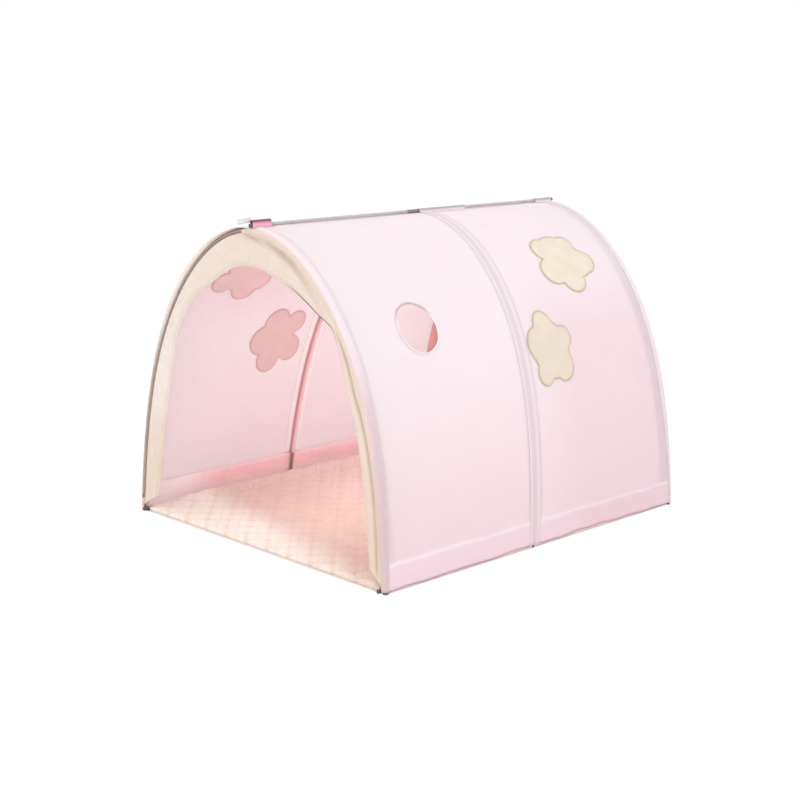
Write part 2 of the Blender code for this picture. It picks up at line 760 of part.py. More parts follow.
def build():
    remove_everything()
    build_frame()
    build_straight_rod("ridge_rod", 0, RIDGE_Z)
    build_straight_rod("left_base_rod", -BASE_ROD_X, BASE_ROD_Z)
    build_straight_rod("right_base_rod", BASE_ROD_X, BASE_ROD_Z)
    build_ridge_loops()
    build_base_channels()
    build_middle_sleeve()
    build_seam_bands()
    for place, turn, facing in (("front", 0.0, 1), ("rear", math.pi, -1)):
        half = add_empty(f"{place}_half", turn=turn)
        build_end_sleeve(f"{place}_sleeve", half)
        build_facing(f"{place}_facing", half)
        build_cover(place, half, facing)
        build_clouds(place, half, facing)
    build_groundsheet()
    build_mat()


build()
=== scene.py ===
"""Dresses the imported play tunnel: cover, tapes, stitching, rods, patches and quilted mat."""

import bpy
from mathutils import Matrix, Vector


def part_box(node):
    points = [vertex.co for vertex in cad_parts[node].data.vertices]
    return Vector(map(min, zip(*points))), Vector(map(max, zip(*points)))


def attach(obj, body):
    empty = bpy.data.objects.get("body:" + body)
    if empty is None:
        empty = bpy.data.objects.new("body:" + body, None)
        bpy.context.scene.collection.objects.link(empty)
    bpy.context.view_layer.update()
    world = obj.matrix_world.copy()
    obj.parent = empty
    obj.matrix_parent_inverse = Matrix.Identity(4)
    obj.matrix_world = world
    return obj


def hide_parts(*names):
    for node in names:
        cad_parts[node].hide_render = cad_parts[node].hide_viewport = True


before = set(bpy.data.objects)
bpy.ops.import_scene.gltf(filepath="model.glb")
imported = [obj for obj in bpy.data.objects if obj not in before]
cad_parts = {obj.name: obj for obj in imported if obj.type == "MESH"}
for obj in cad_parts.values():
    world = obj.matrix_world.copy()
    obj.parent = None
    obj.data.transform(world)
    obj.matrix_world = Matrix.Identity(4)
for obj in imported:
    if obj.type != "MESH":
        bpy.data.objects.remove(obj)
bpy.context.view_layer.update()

import math

import bmesh
import bpy
import numpy as np
from bpy.props import FloatProperty, FloatVectorProperty, PointerProperty
from bpy.types import Operator, Panel, PropertyGroup
from mathutils import Matrix, Vector, noise

bl_info = {
    "name": "Play Tunnel",
    "version": (1, 0, 0),
    "blender": (4, 5, 0),
    "location": "View3D > Sidebar > Play Tunnel",
    "description": "Cloth, tapes, rods and mat of an arched play tunnel on its packed frame",
    "category": "Object",
}


def half_height(node):
    """Half of a CAD node's height, which is a lying rod's radius."""
    low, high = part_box(node)
    return (high.z - low.z) / 2


# The arch, as the hoops run
WIDTH = 1.020
HEIGHT = 0.870
LENGTH = 1.193
LEG_LEAN = -0.102  # these three shape its width up the arch
SHOULDER_FULLNESS = 0.225
CROWN_TIGHTNESS = -0.163
MIDDLE_BASE_Y = -0.033  # the middle hoop leans from here at its feet
MIDDLE_CROWN_Y = 0.042  # to here at its crown
ARCH_SAMPLES = 4000

# Layers of cloth, out from the rods' centre line
CLOTH = 0.0009
LAYER_GAP = 0.0003
ROD_RADIUS = half_height("ridge_rod_front_half")
FERRULE_RADIUS = half_height("ridge_rod_ferrule")
SLEEVE_MIDDLE = FERRULE_RADIUS + LAYER_GAP + CLOTH / 2
FLANGE_LAYER = SLEEVE_MIDDLE + CLOTH + LAYER_GAP
COVER_LAYER = FLANGE_LAYER + CLOTH + LAYER_GAP
PATCH_LAYER = CLOTH + LAYER_GAP
ARCH_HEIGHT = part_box("middle_hoop_crown_rod")[1].z - ROD_RADIUS
ARCH_HALF_WIDTH = WIDTH / 2 - COVER_LAYER - CLOTH / 2

# Places along the tunnel and up the arch
END_HOOP_Y = LENGTH / 2 - SLEEVE_MIDDLE - CLOTH / 2
EDGE_FLANGE = 0.038
SLEEVE_FLANGE = 0.022
SEAM_REACH = SLEEVE_MIDDLE + CLOTH / 2 + SLEEVE_FLANGE
SAG_RUN_IN = 0.250  # above the wall the cover's dip grows over this much arc
WALL_TOP = 0.075
WALL_FOOT = 0.004
FLOOR_TOP = 0.0012
ROD_START = 0.004  # the end hoops' rods start this high, inside their feet
PORTHOLE_RADIUS = 0.070
PORTHOLE_Y = LENGTH / 2 - 0.259
PORTHOLE_ARC = 0.645
FERRULE_LENGTH = 0.060
ROD_RINGS = 110
FERRULE_RINGS = 12
FOOT_OUTLINE = (  # radius and height up the end hoops' caps
    *((0, 0), (0.0068, 0), (0.0073, 0.0010), (0.0074, 0.0030), (0.0070, 0.0036), (0.0070, 0.0044)),
    *((0.0074, 0.0050), (0.0072, 0.0095), (0.0062, 0.0118), (0.0046, 0.0124), (0, 0.0124)),
)
HOOP_TIP_OUTLINE = (  # the middle hoop's
    *((0, 0), (0.0048, 0), (0.0056, 0.0012), (0.0057, 0.0160)),
    *((0.0050, 0.0182), (0.0043, 0.0183), (0, 0.0183)),
)
ROD_TIP_OUTLINE = (  # the straight rods'
    *((0, -0.0090), (0.0036, -0.0090), (0.0046, -0.0078), (0.0047, -0.0060)),
    *((0.0047, 0.0078), (0.0045, 0.0090), (0, 0.0090)),
)
REAR_UPPER_PUFFS = (  # place along and up, and radius, in shares of the cloud's length and height
    (-0.02, 0.18, 0.32),
    (0.18, 0.32, 0.15),
    (-0.23, 0.27, 0.20),
    (0.30, -0.02, 0.20),
    (-0.01, -0.29, 0.19),
    (-0.28, -0.10, 0.22),
    (0.15, 0.00, 0.27),
)
REAR_LOWER_PUFFS = (
    (-0.05, 0.30, 0.21),
    (0.33, 0.11, 0.16),
    (0.16, -0.25, 0.23),
    (-0.27, -0.34, 0.16),
    (-0.24, 0.05, 0.26),
    (-0.03, -0.02, 0.41),
)
FRONT_UPPER_PUFFS = (
    (-0.31, -0.12, 0.19),
    (0.29, -0.12, 0.21),
    (0.10, -0.28, 0.21),
    (-0.12, 0.20, 0.22),
    (0.17, 0.24, 0.19),
    (0.00, 0.00, 0.32),
)
FRONT_LOWER_PUFFS = (
    (-0.26, 0.02, 0.23),
    (-0.06, 0.27, 0.235),
    (0.315, 0.245, 0.18),
    (0.295, -0.17, 0.20),
    (-0.085, -0.29, 0.21),
    (0.02, 0.00, 0.33),
)
CLOUDS = {  # place along, up the arch from the nearer foot, length, height and puffs
    "rear_upper": (0.346, 0.7716, 0.236, 0.204, REAR_UPPER_PUFFS),
    "rear_lower": (0.1376, 0.531, 0.193, 0.210, REAR_LOWER_PUFFS),
    "front_upper": (-0.3732, 0.728, 0.209, 0.190, FRONT_UPPER_PUFFS),
    "front_lower": (-0.1556, 0.4686, 0.209, 0.213, FRONT_LOWER_PUFFS),
}
BASE_ROD_X = sum(corner.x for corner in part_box("right_base_rod_ferrule")) / 2
BASE_ROD_Z = FLOOR_TOP + FERRULE_RADIUS
RIDGE_PRESS = 0.0018  # how far the ridge rod's ends press the cloth down
FOOT_CLEAR = 0.0105  # the tray is cut back this far from the end hoops' feet
CHANNEL_REACH = 0.5762  # half the length of the base rods' tapes
FACING_FRONT = -0.5985  # Y of the front facing at its rod
POCKET_TILT = math.radians(200)  # where the pocket's way round its rod starts
FACING_FOOT = 0.016  # arc length of the facings' lower corners at the rod
FACING_SEAM = 0.004  # from the rod in to the facing's outer edge
PIPING_RADIUS = 0.0011
HEM_INSET = 0.002  # the piping ends this far inside a cover's corners
LINING_WIDTHS = {"front": 0.018, "rear": 0.040}
LINING_END = 0.014  # arc length of the linings' ends above the floor
RIDGE_GAP = 0.019  # from the ridge to the ends of the seam bands
SLOT_START = 1.10  # from here to the left foot the front pocket gapes over its rod
SLOT_SET_BACK = 0.0040  # the facing beside the bare rod
BACKING_RADIUS = 0.0066  # of the cloth on the inner side of the bare rod
POCKET_FEET = (0.006, 0.0015)  # arc lengths of the pocket's ends, right and left
POCKET_SWEEP = math.radians(110)
POCKET_WRAP = (COVER_LAYER + PATCH_LAYER) * POCKET_SWEEP
FLAP_CELLS = 5  # of the pocket's cloth on the facing
WRAP_CELLS = 4  # on each side of its slot, round the rod
SIDE_CELLS = 6  # on the cover
SLOT_COLUMN = FLAP_CELLS + WRAP_CELLS + 0.5
LIP_COLUMN = FLAP_CELLS + WRAP_CELLS + 1
COVER_COLUMN = LIP_COLUMN + WRAP_CELLS
POCKET_CELLS = COVER_COLUMN + SIDE_CELLS
TAB_WIDTH = 0.012
TAB_LEVEL = 0.8860  # height of the pull tab's middle
FRONT_LOOP_SLACK = 0.0075  # how far the front loop stands off its rod
TAB_PATH = (  # X and Y round the folded pull tab
    (-0.0086, -0.594),
    (-0.0080, -0.625),
    (-0.0086, -0.633),
    (-0.0100, -0.636),
    (-0.0114, -0.633),
    (-0.0118, -0.625),
    (-0.0108, -0.594),
)
MAT_SIDE = 0.060  # beside the walls the mat rides up
MAT_SIDE_RISE = 0.012
MAT_EDGE = 0.0085  # height of its upright edge
MAT_ROLL = 0.011  # width of the curve from there to its top
MAT_CELL = (0.961 / 22, 1.181 / 28)
STITCH_PITCH = 0.0042
LOOP_SPANS = {  # Y from and to
    "front": (-0.5985, -0.5350),
    "middle": (0.015, 0.205),
    "rear": (0.5215, 0.5965),
}
FACING_LINE = (  # arc lengths, and the facing's width from leg, 0, to crown, 1
    (0.00, 0.28, 0.40, 0.53, 0.59, 0.66, 0.69, 0.72, 0.755, 0.79, 0.84, 0.93, 1.00)
    + (1.125, 1.22, 1.31, 1.36, 1.42, 1.465, 1.60, 1.69, 1.75, 1.84, 1.93, 2.06, 2.17),
    (0.00, -0.02, -0.11, -0.05, -0.27, -0.59, -0.73, -0.39, -0.05, 0.14, 0.39, 0.82, 0.93)
    + (0.82, 0.52, 0.34, 0.20, -0.14, -0.45, -0.48, -0.18, -0.09, 0.00, -0.02, -0.14, -0.30),
)
CREASE_LINE = (  # arc lengths, and how far in from the rod the tan crease runs
    (0.00, 0.10, 0.20, 0.29, 0.39, 0.50, 0.56, 0.62, 0.68),
    (0.027, 0.023, 0.019, 0.0145, 0.0155, 0.023, 0.021, 0.0145, 0.010),
)

# The camera of the photograph: degrees, metres, and the lens in millimetres
CAMERA_AZIMUTH = 44.61
CAMERA_ELEVATION = 11.73
CAMERA_ROLL = 0.85
CAMERA_DISTANCE = 4.628
CAMERA_TARGET = 0.3917  # height that it looks at
CAMERA_LENS = 71.69
CAMERA_SHIFT = (-0.0151, -0.0290)
FLOOR_GLOW = 0.84  # share of plain white in the floor that the camera sees


def tone(red, green, blue):
    """A display colour, 0 to 255, as the linear values that a shader takes."""
    shares = (c / 255 for c in (red, green, blue))
    return tuple(c / 12.92 if c <= 0.04045 else ((c + 0.055) / 1.055) ** 2.4 for c in shares)


def length_setting(name, description, default):
    return FloatProperty(
        name=name, description=description, default=default, unit="LENGTH", precision=4
    )


def colour_setting(name, description, red, green, blue):
    return FloatVectorProperty(
        name=name,
        description=description,
        default=tone(red, green, blue),
        subtype="COLOR",
        min=0,
        max=1,
    )


class TunnelSizes(PropertyGroup):
    sag: length_setting("Cover sag", "Dip of the cover halfway between two hoops", 0.006)
    ripple: length_setting("Cover ripple", "Height of the cover's soft ripples", 0.0014)
    hem_height: length_setting("Hem height", "Cover's lower edge above the floor", 0.009)
    hem_wave: length_setting("Hem wave", "Rise and fall of the cover's lower edge", 0.0035)
    seam_band: length_setting("Seam band", "Width of the band over the middle seam", 0.042)
    pocket_side: length_setting("Pocket side", "Rod pocket's width on the cover", 0.016)
    pocket_front: length_setting("Pocket front", "Rod pocket's width on the facing", 0.004)
    facing_leg: length_setting("Facing at the legs", "Width of the facing at the legs", 0.062)
    facing_crown: length_setting("Facing at the crown", "Width of the facing on top", 0.106)
    facing_set_back: length_setting("Facing set-back", "Inner edge behind the outer", 0.0155)
    facing_rise: length_setting("Facing corner", "Rise of the facing's lower edge", 0.036)
    fold: length_setting("Facing folds", "Depth of the facing's folds", 0.0045)
    binding: length_setting("Look-out binding", "Width of the look-out hole's tape", 0.0028)
    quilt_pitch: length_setting("Quilt pitch", "Distance between the mat's seams", 0.060)
    quilt_depth: length_setting("Quilt depth", "Height of a puff over its seams", 0.0055)
    mat_thickness: length_setting("Mat thickness", "Mat's height at its puffs", 0.0165)
    # painted light: depth of the mat's lit cream front
    painted_light_front: length_setting("Mat border", "Depth of the mat's cream front", 0.120)


class TunnelColours(PropertyGroup):
    cover: colour_setting("Cover", "Outside of the cover", 254, 249, 252)
    # painted shade: the cover's outside darker near the floor
    cover_low_shade: colour_setting("Cover, low", "Outside of the cover near the floor", 249, 233, 238)
    cover_inside: colour_setting("Cover inside", "Inside of the cover", 253, 243, 246)
    hem: colour_setting("Hem", "Cover over the pink wall", 243, 214, 224)
    # painted shade: the grey-lilac of the pocket's strip on the cover
    pocket: colour_setting("Pocket side", "Rod pocket beside the cover", 234, 210, 216)
    pocket_front: colour_setting("Pocket front", "Rod pocket on the facing", 246, 226, 212)
    facing: colour_setting("Facing", "Facing and rod pocket", 250, 236, 223)
    crease: colour_setting("Crease", "Shaded creases of the facing", 212, 188, 170)
    # painted shadow: the seam band's tones stand for the middle sleeve and rod seen through the
    # cover
    band: colour_setting("Seam band", "Band over the middle seam", 243, 229, 234)
    band_front_shadow: colour_setting("Seam band, dark", "Its front half", 235, 218, 223)
    tape: colour_setting("Tape", "Middle sleeve", 252, 212, 219)
    # painted shade on the middle sleeve's edges
    tape_edge_shade: colour_setting("Tape edge", "Edges of the middle sleeve", 216, 164, 172)
    channel: colour_setting("Channel", "Tape round the base rods", 250, 240, 243)
    channel_dark: colour_setting("Channel edge", "Edges of that tape", 226, 200, 208)
    loop: colour_setting("Front loop", "Sides of the front ridge loop", 243, 178, 196)
    # painted shadow on the top of the front loop
    loop_top_shadow: colour_setting("Front loop top", "Top of the front ridge loop", 116, 66, 84)
    lining: colour_setting("Lining", "Pink strip behind the end pockets", 245, 180, 187)
    groundsheet: colour_setting("Groundsheet", "Tray under the mat", 255, 207, 210)
    patch: colour_setting("Patch", "Cloud patches", 243, 230, 214)
    # painted shadow of the cloud patches as seen through the cover
    patch_shadow_inside: colour_setting("Patch inside", "Cloud patches from inside", 241, 208, 208)
    # painted shade: the grey that the tapes take on their upper arcs
    binding: colour_setting("Binding", "Tape round the look-out holes", 196, 187, 188)
    # painted light and shade: the salmon is the mat's cloth in the tunnel's pink shade, the cream
    # front is the same cloth in the light at the opening
    mat: colour_setting("Mat", "Quilted mat", 232, 202, 190)
    mat_painted_light: colour_setting("Mat border", "Cream front of the mat", 247, 236, 224)
    rod: colour_setting("Rod", "Glass fibre", 152, 130, 112)
    ridge: colour_setting("Ridge rod", "Pale glass fibre", 196, 190, 190)
    rubber: colour_setting("Rubber", "Feet and tips", 84, 80, 83)
    steel: colour_setting("Steel", "Ferrules", 150, 146, 145)
    floor: colour_setting("Floor", "Floor and backdrop", 250, 250, 250)


class Arch:
    """The hoops' line in the XZ plane, measured by arc length from the right foot."""

    def __init__(self, half_width, height):
        angle = np.linspace(0, math.pi, ARCH_SAMPLES)
        rise = np.sin(angle)
        swell = 1 + LEG_LEAN * rise + SHOULDER_FULLNESS * rise**2 + CROWN_TIGHTNESS * rise**4
        self.x = half_width * np.cos(angle) * swell
        self.z = height * rise
        across, up = np.gradient(self.x), np.gradient(self.z)
        step = np.hypot(across, up)
        self.out_x = up / step
        self.out_z = -across / step
        steps = np.hypot(np.diff(self.x), np.diff(self.z))
        self.run = np.concatenate([[0], np.cumsum(steps)])
        self.total = self.run[-1]

    def place(self, arc, along, out):
        """World points at arc lengths, at places along Y and at distances out from the rods."""
        x = np.interp(arc, self.run, self.x)
        z = np.interp(arc, self.run, self.z)
        out_x = np.interp(arc, self.run, self.out_x)
        out_z = np.interp(arc, self.run, self.out_z)
        beyond = np.where(arc < 0, arc, np.maximum(arc - self.total, 0) * -1)
        return np.stack([x + out_x * out, along, z + out_z * out + beyond], -1)

    def height(self, arc):
        return np.interp(arc, self.run, self.z)

    def arc_at(self, height):
        """Arc length on the right leg at a height."""
        half = ARCH_SAMPLES // 2
        return float(np.interp(height, self.z[:half], self.run[:half]))


ARCH = Arch(ARCH_HALF_WIDTH, ARCH_HEIGHT)


def seam_y(arc):
    """Y of the leaning middle hoop at an arc length."""
    return MIDDLE_BASE_Y + (MIDDLE_CROWN_Y - MIDDLE_BASE_Y) * ARCH.height(arc) / HEIGHT


HOOP_LINES = {  # Y of each hoop at an arc length
    "front": lambda arc: np.full_like(arc, -END_HOOP_Y),
    "middle": seam_y,
    "rear": lambda arc: np.full_like(arc, END_HOOP_Y),
}


def smooth(share):
    share = np.clip(share, 0, 1)
    return share * share * (3 - 2 * share)


def bump_at(value, centre, reach):
    """A soft hump of height 1 and half width reach."""
    return np.exp(-(((value - centre) / reach) ** 2))


def fold_marks(along):
    """Where the groundsheet's walls keep the marks of having been folded flat."""
    return sum(bump_at(along, spot, 0.006) for spot in (-0.40, -0.37, 0.10))


def rolling(along, arc, scale, seed):
    """Smooth noise from -1 to 1 over the cloth, with lumps of about scale metres."""
    flat = zip(np.ravel(along) / scale, np.ravel(arc) / scale)
    return np.array([noise.noise((a, s, seed)) for a, s in flat]).reshape(np.shape(along))


def cover_share(along, arc):
    """Place between an end hoop's flange, 0, and the middle sleeve's flange, 1."""
    seam = seam_y(arc)
    far = END_HOOP_Y - EDGE_FLANGE
    front = (along + far) / (seam - SEAM_REACH + far)
    rear = (far - along) / (far - seam - SEAM_REACH)
    return np.clip(np.where(along < seam, front, rear), 0, 1)


def ridge_press(along, arc):
    """How far the ends of the ridge rod press the cloth down over the end hoops."""
    near_end = smooth((np.abs(along) - END_HOOP_Y + 0.055) / 0.035)
    return RIDGE_PRESS * bump_at(arc, ARCH.total / 2, 0.022) * near_end


def beside_base_rod(places):
    """Cloth near the floor kept on the outer side of the base rods."""
    x, y, z = places.T
    limit = BASE_ROD_X + FERRULE_RADIUS + CLOTH + LAYER_GAP
    beside = np.sign(x) * np.maximum(np.abs(x), limit)
    return np.stack([x + (beside - x) * smooth((0.020 - z) / 0.006), y, z], -1)


def cover_out(along, arc, sizes):
    """The cover's middle layer, out from the rods: a dip between hoops with soft ripples."""
    free = np.sin(math.pi * cover_share(along, arc)) ** 2
    above = np.minimum(arc, ARCH.total - arc) - WALL_TOP
    held = 1 - 0.8 * bump_at(arc, ARCH.total / 2, 0.20)
    dip = sizes.sag * free * smooth(above / SAG_RUN_IN) * held
    ripples = rolling(along, arc, 0.16, 3.1) + 0.5 * rolling(along, arc * 1.7, 0.07, 8.4)
    pulls = rolling(along * 2.2, arc * 0.5, 0.10, 5.5)
    loose = free**0.5 * smooth(above / 0.05 + 0.6)
    sunk = dip + ridge_press(along, arc)
    return COVER_LAYER - sunk + sizes.ripple * loose * (ripples + 0.4 * pulls)


def hem_arc(along, sizes):
    """Arc length of the cover's lower edge, which waves along its length."""
    waves = rolling(along, along * 0, 0.21, 1.7) + 0.4 * rolling(along, along * 0, 0.06, 6.2)
    return np.maximum(sizes.hem_height + sizes.hem_wave * waves * 1.6, 0.002)


class Nodes:
    """Adds linked nodes to a material's tree or to a shader node group."""

    def __init__(self, tree):
        self.tree = tree

    def feed(self, socket, value):
        if isinstance(value, bpy.types.NodeSocket):
            self.tree.links.new(value, socket)
        elif hasattr(value, "__len__") and len(value) == 3 and len(socket.default_value) == 4:
            socket.default_value = (*value, 1)
        else:
            socket.default_value = value

    def add(self, kind, inputs=None, **settings):
        node = self.tree.nodes.new("ShaderNode" + kind)
        for name, value in settings.items():
            setattr(node, name, value)
        for name, value in (inputs or {}).items():
            self.feed(node.inputs[name], value)
        return node

    def math(self, operation, *values):
        node = self.add("Math", operation=operation)
        for socket, value in zip(node.inputs, values):
            self.feed(socket, value)
        return node.outputs[0]

    def mix(self, factor, low, high):
        node = self.add("Mix", data_type="RGBA", clamp_factor=True)
        for place, value in ((0, factor), (6, low), (7, high)):
            self.feed(node.inputs[place], value)
        return node.outputs[2]

    def fade(self, value, start, end, low=0.0, high=1.0):
        """A smooth step from low to high as value runs from start to end."""
        ends = {"From Min": start, "From Max": end, "To Min": low, "To Max": high}
        node = self.add("MapRange", {**ends, "Value": value}, interpolation_type="SMOOTHSTEP")
        return node.outputs["Result"]

    def noise(self, place, scale, detail=2.0, roughness=0.5):
        names = {"Vector": place, "Scale": scale, "Detail": detail, "Roughness": roughness}
        return self.add("TexNoise", names).outputs["Fac"]

    def scaled(self, place, scale):
        return self.add("Mapping", {"Vector": place, "Scale": scale}).outputs["Vector"]

    def parts(self, place):
        return self.add("SeparateXYZ", {"Vector": place}).outputs

    def place(self, name):
        return self.add("TexCoord").outputs[name]

    def level(self):
        """Height above the floor."""
        return self.parts(self.place("Object"))["Z"]

    def kept(self, name):
        """The numbers that mark() keeps at a piece's vertices."""
        return self.add("Attribute", attribute_name=name).outputs["Fac"]

    def group(self, name, **values):
        """A shared node group, which is built the first time that it is asked for."""
        tree = bpy.data.node_groups.get(name) or GROUPS[name]()
        return self.add("Group", values, node_tree=tree).outputs

    def show(self, share, first, second, output="Material Output"):
        """Joins a mix of two shaders to the output."""
        both = self.add("MixShader", {"Fac": share, 1: first, 2: second})
        self.feed(self.tree.nodes[output].inputs["Surface"], both.outputs[0])

    def seen_directly(self):
        """1 where the camera, a shiny surface or glass looks straight at this one."""
        rays = self.add("LightPath").outputs
        seen = self.math("MAXIMUM", rays["Is Camera Ray"], rays["Is Glossy Ray"])
        return self.math("MAXIMUM", seen, rays["Is Transmission Ray"])


def new_group(name, inputs, outputs):
    """A new shader node group with named sockets."""
    tree = bpy.data.node_groups.new(name, "ShaderNodeTree")
    for key, kind in inputs.items():
        tree.interface.new_socket(key, in_out="INPUT", socket_type="NodeSocket" + kind)
    for key, kind in outputs.items():
        tree.interface.new_socket(key, in_out="OUTPUT", socket_type="NodeSocket" + kind)
    entry = tree.nodes.new("NodeGroupInput")
    leave = tree.nodes.new("NodeGroupOutput")
    return tree, Nodes(tree), entry.outputs, leave.inputs


def plain_weave():
    """Crossing threads with thicker ones here and there: a height and a shade."""
    sockets = {"Place": "Vector", "Threads": "Float", "Slubs": "Float"}
    tree, nodes, entry, leave = new_group(
        "plain_weave", sockets, {"Height": "Float", "Shade": "Float"}
    )
    turned = nodes.math("MULTIPLY", entry["Threads"], math.pi)
    split = nodes.parts(entry["Place"])
    warp = nodes.math("SINE", nodes.math("MULTIPLY", split["X"], turned))
    weft = nodes.math("SINE", nodes.math("MULTIPLY", split["Y"], turned))
    over = nodes.math("MULTIPLY_ADD", nodes.math("MULTIPLY", warp, weft), 0.35, 0.5)
    thick_warp = nodes.noise(nodes.scaled(entry["Place"], (620, 22, 22)), 1.0, 1.0)
    thick_weft = nodes.noise(nodes.scaled(entry["Place"], (22, 620, 22)), 1.0, 1.0)
    slub = nodes.math("ADD", thick_warp, thick_weft)
    slub = nodes.math("MULTIPLY", nodes.math("SUBTRACT", slub, 1.0), entry["Slubs"])
    nodes.feed(leave["Height"], nodes.math("ADD", over, slub))
    nodes.feed(leave["Shade"], nodes.math("MULTIPLY_ADD", slub, 0.8, 0.5))
    return tree


def soft_creases():
    """Handling creases in cloth: long soft ones crossed by short ones, as a height."""
    sockets = {"Place": "Vector", "Scale": "Float"}
    tree, nodes, entry, leave = new_group("soft_creases", sockets, {"Height": "Float"})
    place = nodes.add("VectorMath", {0: entry["Place"]}, operation="SCALE")
    nodes.feed(place.inputs["Scale"], entry["Scale"])
    wander = nodes.add("TexNoise", {"Vector": place.outputs[0], "Scale": 1.0, "Detail": 3.0})
    nodes.feed(wander.inputs["Distortion"], 0.8)
    fine = nodes.noise(place.outputs[0], 4.0, 3.0, 0.6)
    ridge = nodes.math("ABSOLUTE", nodes.math("SUBTRACT", wander.outputs["Fac"], 0.5))
    ridge = nodes.fade(ridge, 0.0, 0.12, 1.0, 0.0)
    height = nodes.math("MULTIPLY_ADD", fine, 0.35, nodes.math("MULTIPLY", ridge, 0.5))
    nodes.feed(leave["Height"], height)
    return tree


def stitch_row():
    """A row of stitches along a seam: the thread's mask and the dent that it pulls."""
    sockets = {"Across": "Float", "Along": "Float", "Pitch": "Float"}
    tree, nodes, entry, leave = new_group(
        "stitch_row", sockets, {"Thread": "Float", "Dent": "Float"}
    )
    away = nodes.math("ABSOLUTE", entry["Across"])
    step = nodes.math("FRACT", nodes.math("DIVIDE", entry["Along"], entry["Pitch"]))
    dash = nodes.math("ABSOLUTE", nodes.math("SUBTRACT", step, 0.5))
    dash = nodes.fade(dash, 0.28, 0.36, 1.0, 0.0)
    near = nodes.fade(away, 0.0003, 0.0008, 1.0, 0.0)
    nodes.feed(leave["Thread"], nodes.math("MULTIPLY", dash, near))
    dent = nodes.fade(away, 0.0, 0.0040, 1.0, 0.0)
    hole = nodes.math("MULTIPLY_ADD", dash, -0.35, 1.0)
    nodes.feed(leave["Dent"], nodes.math("MULTIPLY", dent, hole))
    return tree


def handled_wear():
    """Fine scratches and worn patches on hard parts: a mask and a height."""
    sockets = {"Place": "Vector", "Scale": "Float"}
    tree, nodes, entry, leave = new_group(
        "handled_wear", sockets, {"Wear": "Float", "Height": "Float"}
    )
    place = nodes.add("VectorMath", {0: entry["Place"]}, operation="SCALE")
    nodes.feed(place.inputs["Scale"], entry["Scale"])
    patch = nodes.noise(place.outputs[0], 1.0, 4.0, 0.6)
    fine = nodes.noise(place.outputs[0], 9.0, 2.0, 0.7)
    nodes.feed(leave["Wear"], nodes.fade(nodes.math("MULTIPLY", patch, fine), 0.16, 0.42))
    nodes.feed(leave["Height"], fine)
    return tree


GROUPS = {
    "plain_weave": plain_weave,
    "soft_creases": soft_creases,
    "stitch_row": stitch_row,
    "handled_wear": handled_wear,
}


class Surface(Nodes):
    """The nodes of a new material, and its shader."""

    def __init__(self, name):
        self.material = bpy.data.materials.new(name)
        self.material.use_nodes = True
        super().__init__(self.material.node_tree)
        self.shader = self.tree.nodes["Principled BSDF"]

    def coat(self, colour, height, strength, depth, roughness):
        """Joins colour, height and roughness to the shader, and returns the bumpy normal."""
        bump = self.add("Bump", {"Strength": strength, "Distance": depth, "Height": height})
        normal = bump.outputs["Normal"]
        wanted = {"Base Color": colour, "Normal": normal, "Roughness": roughness}
        for name, value in wanted.items():
            self.feed(self.shader.inputs[name], value)
        return normal

    def cloth(self, colour, height, depth, roughness, through):
        """Finishes a cloth, which lets a share of the light through."""
        normal = self.coat(colour, height, 1.0, depth, roughness)
        sheen = {"Specular IOR Level": 0.18, "Sheen Weight": 0.12, "Sheen Roughness": 0.5}
        for name, value in sheen.items():
            self.shader.inputs[name].default_value = value
        if through:
            behind = self.add("BsdfTranslucent", {"Color": colour, "Normal": normal})
            self.show(through, self.shader.outputs[0], behind.outputs[0])
        self.material.diffuse_color = (*self.shader.inputs["Base Color"].default_value[:3], 1)
        return self.material

    def hard(self, colour, height, strength, depth, roughness):
        """Finishes a hard part."""
        self.coat(colour, height, strength, depth, roughness)
        return self.material

    def woven(self, place, threads, slubs, crease_scale, crease_share):
        """Height and shade of a woven cloth with its handling creases."""
        weave = self.group("plain_weave", Place=place, Threads=threads, Slubs=slubs)
        crease = self.group("soft_creases", Place=self.place("Object"), Scale=crease_scale)
        height = self.math("MULTIPLY_ADD", crease["Height"], crease_share, weave["Height"])
        return height, weave["Shade"]

    def sewn(self, away, run, height, dent=-2.0, pitch=STITCH_PITCH):
        """The height with a row of stitches pulled into it, and the row's masks."""
        row = self.group("stitch_row", Across=away, Along=run, Pitch=pitch)
        return self.math("MULTIPLY_ADD", row["Dent"], dent, height), row


def darker(colour, share):
    return tuple(c * share for c in colour)


